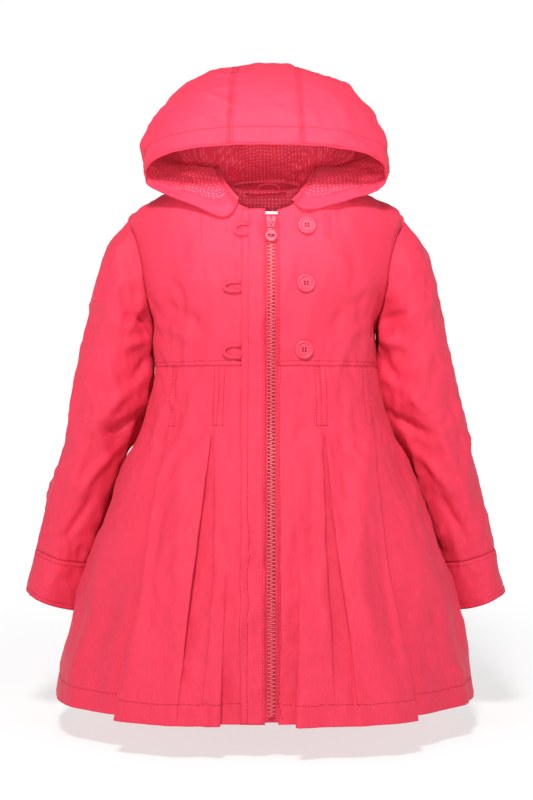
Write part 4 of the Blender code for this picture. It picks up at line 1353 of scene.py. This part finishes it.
def build_buttons():
    """Four-hole buttons with a raised rim, a hollow face and thread through the holes."""
    out = (-HOLE_OUT, HOLE_OUT)
    face = [circle(0, 0, FACE_RADIUS, 48)]
    face += [circle(x, y, HOLE_RADIUS, 14) for x in out for y in out]
    bars = []
    for across in (x + side for x in out for side in (-THREAD_OUT, THREAD_OUT)):
        ends = [(across, along, THREAD_LEVEL) for along in (-THREAD_HALF, THREAD_HALF)]
        bars.append(bar(*ends, THREAD_RADIUS))
    for kind, (x, drop) in BUTTONS.items():
        name, place = f"button_{kind}", seat(x, drop, 0.45)
        merged(f"{name}_rim", [lathe(BUTTON_RIM, 56)], place, PLASTIC, node=name, slot="button")
        plate = place @ Matrix.Translation((0, 0, 1.15 * MM))
        curve_piece(f"{name}_plate", face, 1.2, 0.2, plate, PLASTIC, slot="button")
        # A dark disc under the face shows through the four holes as painted shade.
        under = place @ Matrix.Translation((0, 0, 0.3 * MM))
        hole_shade_disc = [circle(0, 0, HOLE_SHADE_RADIUS)]
        curve_piece(f"{name}_painted_hole_shade", hole_shade_disc, 0.3, 0.05, under, HOLE_SHADE, slot="button")
        merged(f"{name}_thread", bars, place, SHADED_THREAD, slot="button")


# How far along a bar each section lies, how high, and its share of the bar's radius
BAR_SECTIONS = [(0, -0.9, 0.7), (0.12, -0.1, 1), (0.5, 0.12, 1), (0.88, -0.1, 1), (1, -0.9, 0.7)]


def bar(start, end, radius, sides=8):
    """A short round bar with a bowed middle and sunk ends."""
    start, end = Vector(start), Vector(end)
    ahead = (end - start).normalized()
    side = ahead.cross(Vector((0, 0, 1))).normalized()
    up = side.cross(ahead)
    points = []
    for share, sink, size in BAR_SECTIONS:
        centre = start.lerp(end, share) + Vector((0, 0, sink))
        for k in range(sides):
            turn = 2 * math.pi * k / sides
            points.append(centre + (side * math.cos(turn) + up * math.sin(turn)) * radius * size)
    return [tuple(p) for p in points], tube_faces(len(BAR_SECTIONS), sides)


def heart(centre_y, half_wide):
    outline = []
    for step in range(28):
        t = 2 * math.pi * step / 28
        x = math.sin(t) ** 3
        y = (13 * math.cos(t) - 5 * math.cos(2 * t) - 2 * math.cos(3 * t) - math.cos(4 * t)) / 16
        outline.append((x * half_wide, centre_y + y * half_wide * 0.8))
    return outline


# Halves of outlines: the slider's shoulder and foot, its bridge, and the slot in the pull tab
SHOULDER_HALF = [(1.2, 6.4), (3.8, 6.2), (5, 4.6), (5, 3)]
FOOT_HALF = [(4.2, -4), (4.0, -6.2)]
BRIDGE_HALF = [(3.6, 3.3), (4.4, 2.4), (4.4, 0.0), (3.2, 0.0), (3.0, 2.1)]
SLOT_HALF = [(2.5, -0.8), (2.5, -8.8), (1.7, -9.9), (0.6, -10.3)]
TAB_RADIUS = 6.1
TAB_NECK = 3.2
TAB_LONG = 22.5
BODY_LEVEL = 1.2
BRIDGE_LEVEL = 2.3
HEART_HALF = 3.9
HEART_SINK = 0.2


def opposite(outline):
    """The same outline on the other side of the middle, met from its other end."""
    return [(-x, y) for x, y in outline[::-1]]


def build_slider():
    """A slider body with rounded shoulders and its bridge, and the heart-cut pull tab on it."""
    place = seat(ZIP_CENTRE, SLIDER_DROP)
    body = opposite(SHOULDER_HALF) + [(0, 5.0)] + SHOULDER_HALF + FOOT_HALF + opposite(FOOT_HALF)
    raised = place @ Matrix.Translation((0, 0, BODY_LEVEL * MM))
    curve_piece("slider_body", [body], 2.6, 0.5, raised, ENAMEL, node="zip_slider", slot="zip")
    quarter = math.pi / 2
    upright = Matrix.Rotation(quarter, 4, "Z") @ Matrix.Rotation(quarter, 4, "X")
    raised = place @ Matrix.Translation((0, 0, BRIDGE_LEVEL * MM)) @ upright
    bridge = BRIDGE_HALF + opposite(BRIDGE_HALF)
    curve_piece("slider_bridge", [bridge], 2.0, 0.35, raised, ENAMEL, slot="zip")
    middle = TAB_RADIUS - TAB_LONG
    start = math.asin(TAB_NECK / TAB_RADIUS)
    tab = [(-3.5, 0.8), (3.5, 0.8)]
    for step in range(37):
        turn = start + (2 * math.pi - 2 * start) * step / 36
        tab.append((TAB_RADIUS * math.sin(turn), middle + TAB_RADIUS * math.cos(turn)))
    slot = SLOT_HALF + opposite(SLOT_HALF)
    cut = heart(middle - HEART_SINK, HEART_HALF)
    hinge = seat(ZIP_CENTRE, SLIDER_DROP, HINGE_RISE)
    curve_piece(
        "heart_pull_tab", [tab, slot, cut], 1.5, 0.3, hinge, ENAMEL,
        body="pull_tab", node="pull_tab", slot="zip",
    )


def swept(path, lift, half_wide, half_thick, sides=12):
    """A band of oval section along a path."""
    ahead = unit(np.gradient(path, axis=0))
    side = unit(np.cross(ahead, lift))
    up = np.cross(side, ahead)
    points = []
    for k in range(sides):
        turn = 2 * math.pi * k / sides
        points.append(path + side * math.cos(turn) * half_wide + up * math.sin(turn) * half_thick)
    count = len(path)
    points = np.stack(points, axis=1).reshape(-1, 3)
    faces = tube_faces(count, sides)
    faces.append(tuple(range(sides))[::-1])
    faces.append(tuple((count - 1) * sides + k for k in range(sides)))
    return points.tolist(), faces


def hairpin(count):
    turns = np.linspace(0, math.pi, count)
    return np.sin(turns) ** 0.45, np.cos(turns)


# How far a button loop's middle stands off the cloth, and half its width and its thickness
LOOP_LEVEL = 0.45 + 1.5
LOOP_FORM = (1.9, 1.15)


def build_loops():
    """Flat cloth loops that stand out from the fly's edge, doubled back on themselves."""
    for name, loop in LOOPS.items():
        out, along = hairpin(27)
        x = loop.start + (loop.tip - loop.start) * out
        drop = loop.drop - along * loop.tall / 2
        angle = angle_at(x, drop)
        lift = ring_facing(angle, drop)
        level = LOOP_LEVEL + (SHELL_GAP if loop.on_fly else 0.2)
        path = skirt(angle, drop) + lift * level
        merged(
            f"button_loop_{name}_cloth", [swept(path, lift, *LOOP_FORM)], Matrix.Identity(4),
            COTTON, node=f"button_loop_{name}", slot="shell",
        )


# How many rows and columns of the back's half are lined, the label's half width and its top and
# foot as drops, and the hanger loop's place on the neck's edge, half width, reach and form
LINED_ROWS = 34
LINED_COLUMNS = 35
LABEL_HALF = 17
LABEL_DROPS = (43, 57)
LABEL_LEVEL = -3.5
HANGER_PLACE = (3, -1.7, 1.7)
HANGER_HALF = 12
HANGER_REACH = 9
HANGER_FORM = (1.3, 0.9)


def build_back_neck():
    angle, drop = bodice_half(0.0, True, BACK_COLUMNS, BODICE_ROWS)
    angle, drop = whole_back(*(places[:LINED_ROWS, :LINED_COLUMNS] for places in (angle, drop)))
    rest, lift = on_ring(angle, drop), ring_facing(angle, drop)
    rest, lift, level = tuck(rest, lift, -SHELL_GAP, "top", reach=5, sink=-1.2)
    add_cloth(
        "back_neck_dotted_lining", "torso", rest, lift, DOTTED_PAINTED_LIGHT, "back_neck_lining", slot="lining",
        level=level, thickness=LINING,
    )
    across, down = np.linspace(LABEL_HALF, -LABEL_HALF, 20), np.linspace(*LABEL_DROPS, 9)
    x, drop = np.meshgrid(across, down)
    angle = angle_at(x, drop, back=True) % 360
    rest, lift = on_ring(angle, drop), ring_facing(angle, drop)
    add_cloth(
        "white_label", "torso", rest, lift, SATIN, "blank_label", slot="label",
        level=LABEL_LEVEL, thickness=0.5,
    )
    out, along = hairpin(31)
    angle, drop = neck_place(np.array(180.0))
    foot = on_ring(angle, drop) + np.array(HANGER_PLACE)
    path = foot + np.stack([-HANGER_HALF * along, 0 * out, HANGER_REACH * out], axis=-1)
    lift = np.tile([0.0, -1.0, 0.0], (31, 1))
    merged(
        "hanger_loop_cloth", [swept(path, lift, *HANGER_FORM)], Matrix.Identity(4),
        FACING_COTTON_PAINTED_LIGHT, node="hanger_loop", slot="shell",
    )


# Floor, light and camera, in metres. A pixel is the size that one of the photo's 533 by 800 pixels
# covers at the origin's distance, and the sky's band is in degrees above the horizon.

SKY_BAND = (17, 26)
SENSOR = 36
CAMERA_BACK = 1.5
CAMERA_Z = -0.251
PIXEL = 0.0011
PHOTO_TALL = 800
FLOOR_Z = -0.605


def add_lamp(name, kind, place, aim, power, **settings):
    """A lamp turned towards its aim."""
    light = bpy.data.lights.new(name, kind)
    light.energy = power
    for setting, value in settings.items():
        setattr(light, setting, value)
    lamp = bpy.data.objects.new(name, light)
    lamp.location = place
    lamp.rotation_mode = "QUATERNION"
    lamp.rotation_quaternion = (Vector(aim) - Vector(place)).to_track_quat("-Z", "Y")
    bpy.context.scene.collection.objects.link(lamp)


def build_floor():
    """A wide pale floor that glows a little, more so far away, so that it fades into the sky."""
    bpy.ops.mesh.primitive_plane_add(size=16, location=(0, 0, FLOOR_Z))
    floor = bpy.context.object
    floor.name = "studio_floor"
    paint, tree, shader, place = new_material("studio_white")
    distance = add_node(tree, "VectorMath", {0: place["Object"]}, operation="LENGTH")
    fading = {"From Min": 0.4, "From Max": 2.0, "To Min": 0.66, "To Max": 1.0}
    glow = add_node(tree, "MapRange", {**fading, "Value": distance.outputs["Value"]})
    feed(shader, {
        "Base Color": (0.42, 0.42, 0.42, 1),
        "Roughness": 0.9,
        "Specular IOR Level": 0.1,
        "Emission Color": (1, 1, 1, 1),
        "Emission Strength": glow.outputs[0],
    })
    floor.data.materials.append(paint)


def build_sky():
    """White near the horizon, which is all that the camera sees of it, and dim higher up."""
    world = bpy.data.worlds.new("studio")
    world.use_nodes = True
    tree = world.node_tree
    place = add_node(tree, "TexCoord").outputs["Generated"]
    rise = add_node(tree, "SeparateXYZ", {0: place}).outputs["Z"]
    low, high = (math.sin(math.radians(degrees)) for degrees in SKY_BAND)
    band = {"From Min": low, "From Max": high, "To Min": 1.02, "To Max": 0.12, "Value": rise}
    strength = add_node(tree, "MapRange", band).outputs[0]
    feed(tree.nodes["Background"], {"Strength": strength, "Color": (1, 0.99, 0.99, 1)})
    bpy.context.scene.world = world


def build_studio():
    build_floor()
    build_sky()
    middle = (0, 0, -0.25)
    add_lamp("key", "AREA", (-0.14, -1.4, 1.0), middle, 33, shape="DISK", size=0.3)
    add_lamp("top", "AREA", (0.1, 0.0, 1.5), middle, 2, shape="DISK", size=0.6)
    beam = {"spot_size": math.radians(15), "spot_blend": 0.9, "shadow_soft_size": 0.05}
    add_lamp("hood_fill", "SPOT", (0, -1.2, -0.22), (0, 0, 0), 36, **beam)
    scene = bpy.context.scene
    scene.view_settings.view_transform = "Standard"
    camera = bpy.data.cameras.new("camera")
    camera.sensor_width = SENSOR
    camera.lens = SENSOR * CAMERA_BACK / (PHOTO_TALL * PIXEL)
    eye = bpy.data.objects.new("camera", camera)
    eye.location = (PIXEL * 0.5, -CAMERA_BACK, CAMERA_Z)
    eye.rotation_euler = (math.pi / 2, 0, 0)
    scene.collection.objects.link(eye)
    scene.camera = eye


build_bodice()
build_skirt()
build_sleeves()
build_hood()
build_hood_inside()
build_closing()
build_zip_chain()
build_slider()
build_buttons()
build_loops()
build_back_neck()
for thread_group in sorted(THREADS):
    build_threads(thread_group, SHADED_THREAD)
build_studio()
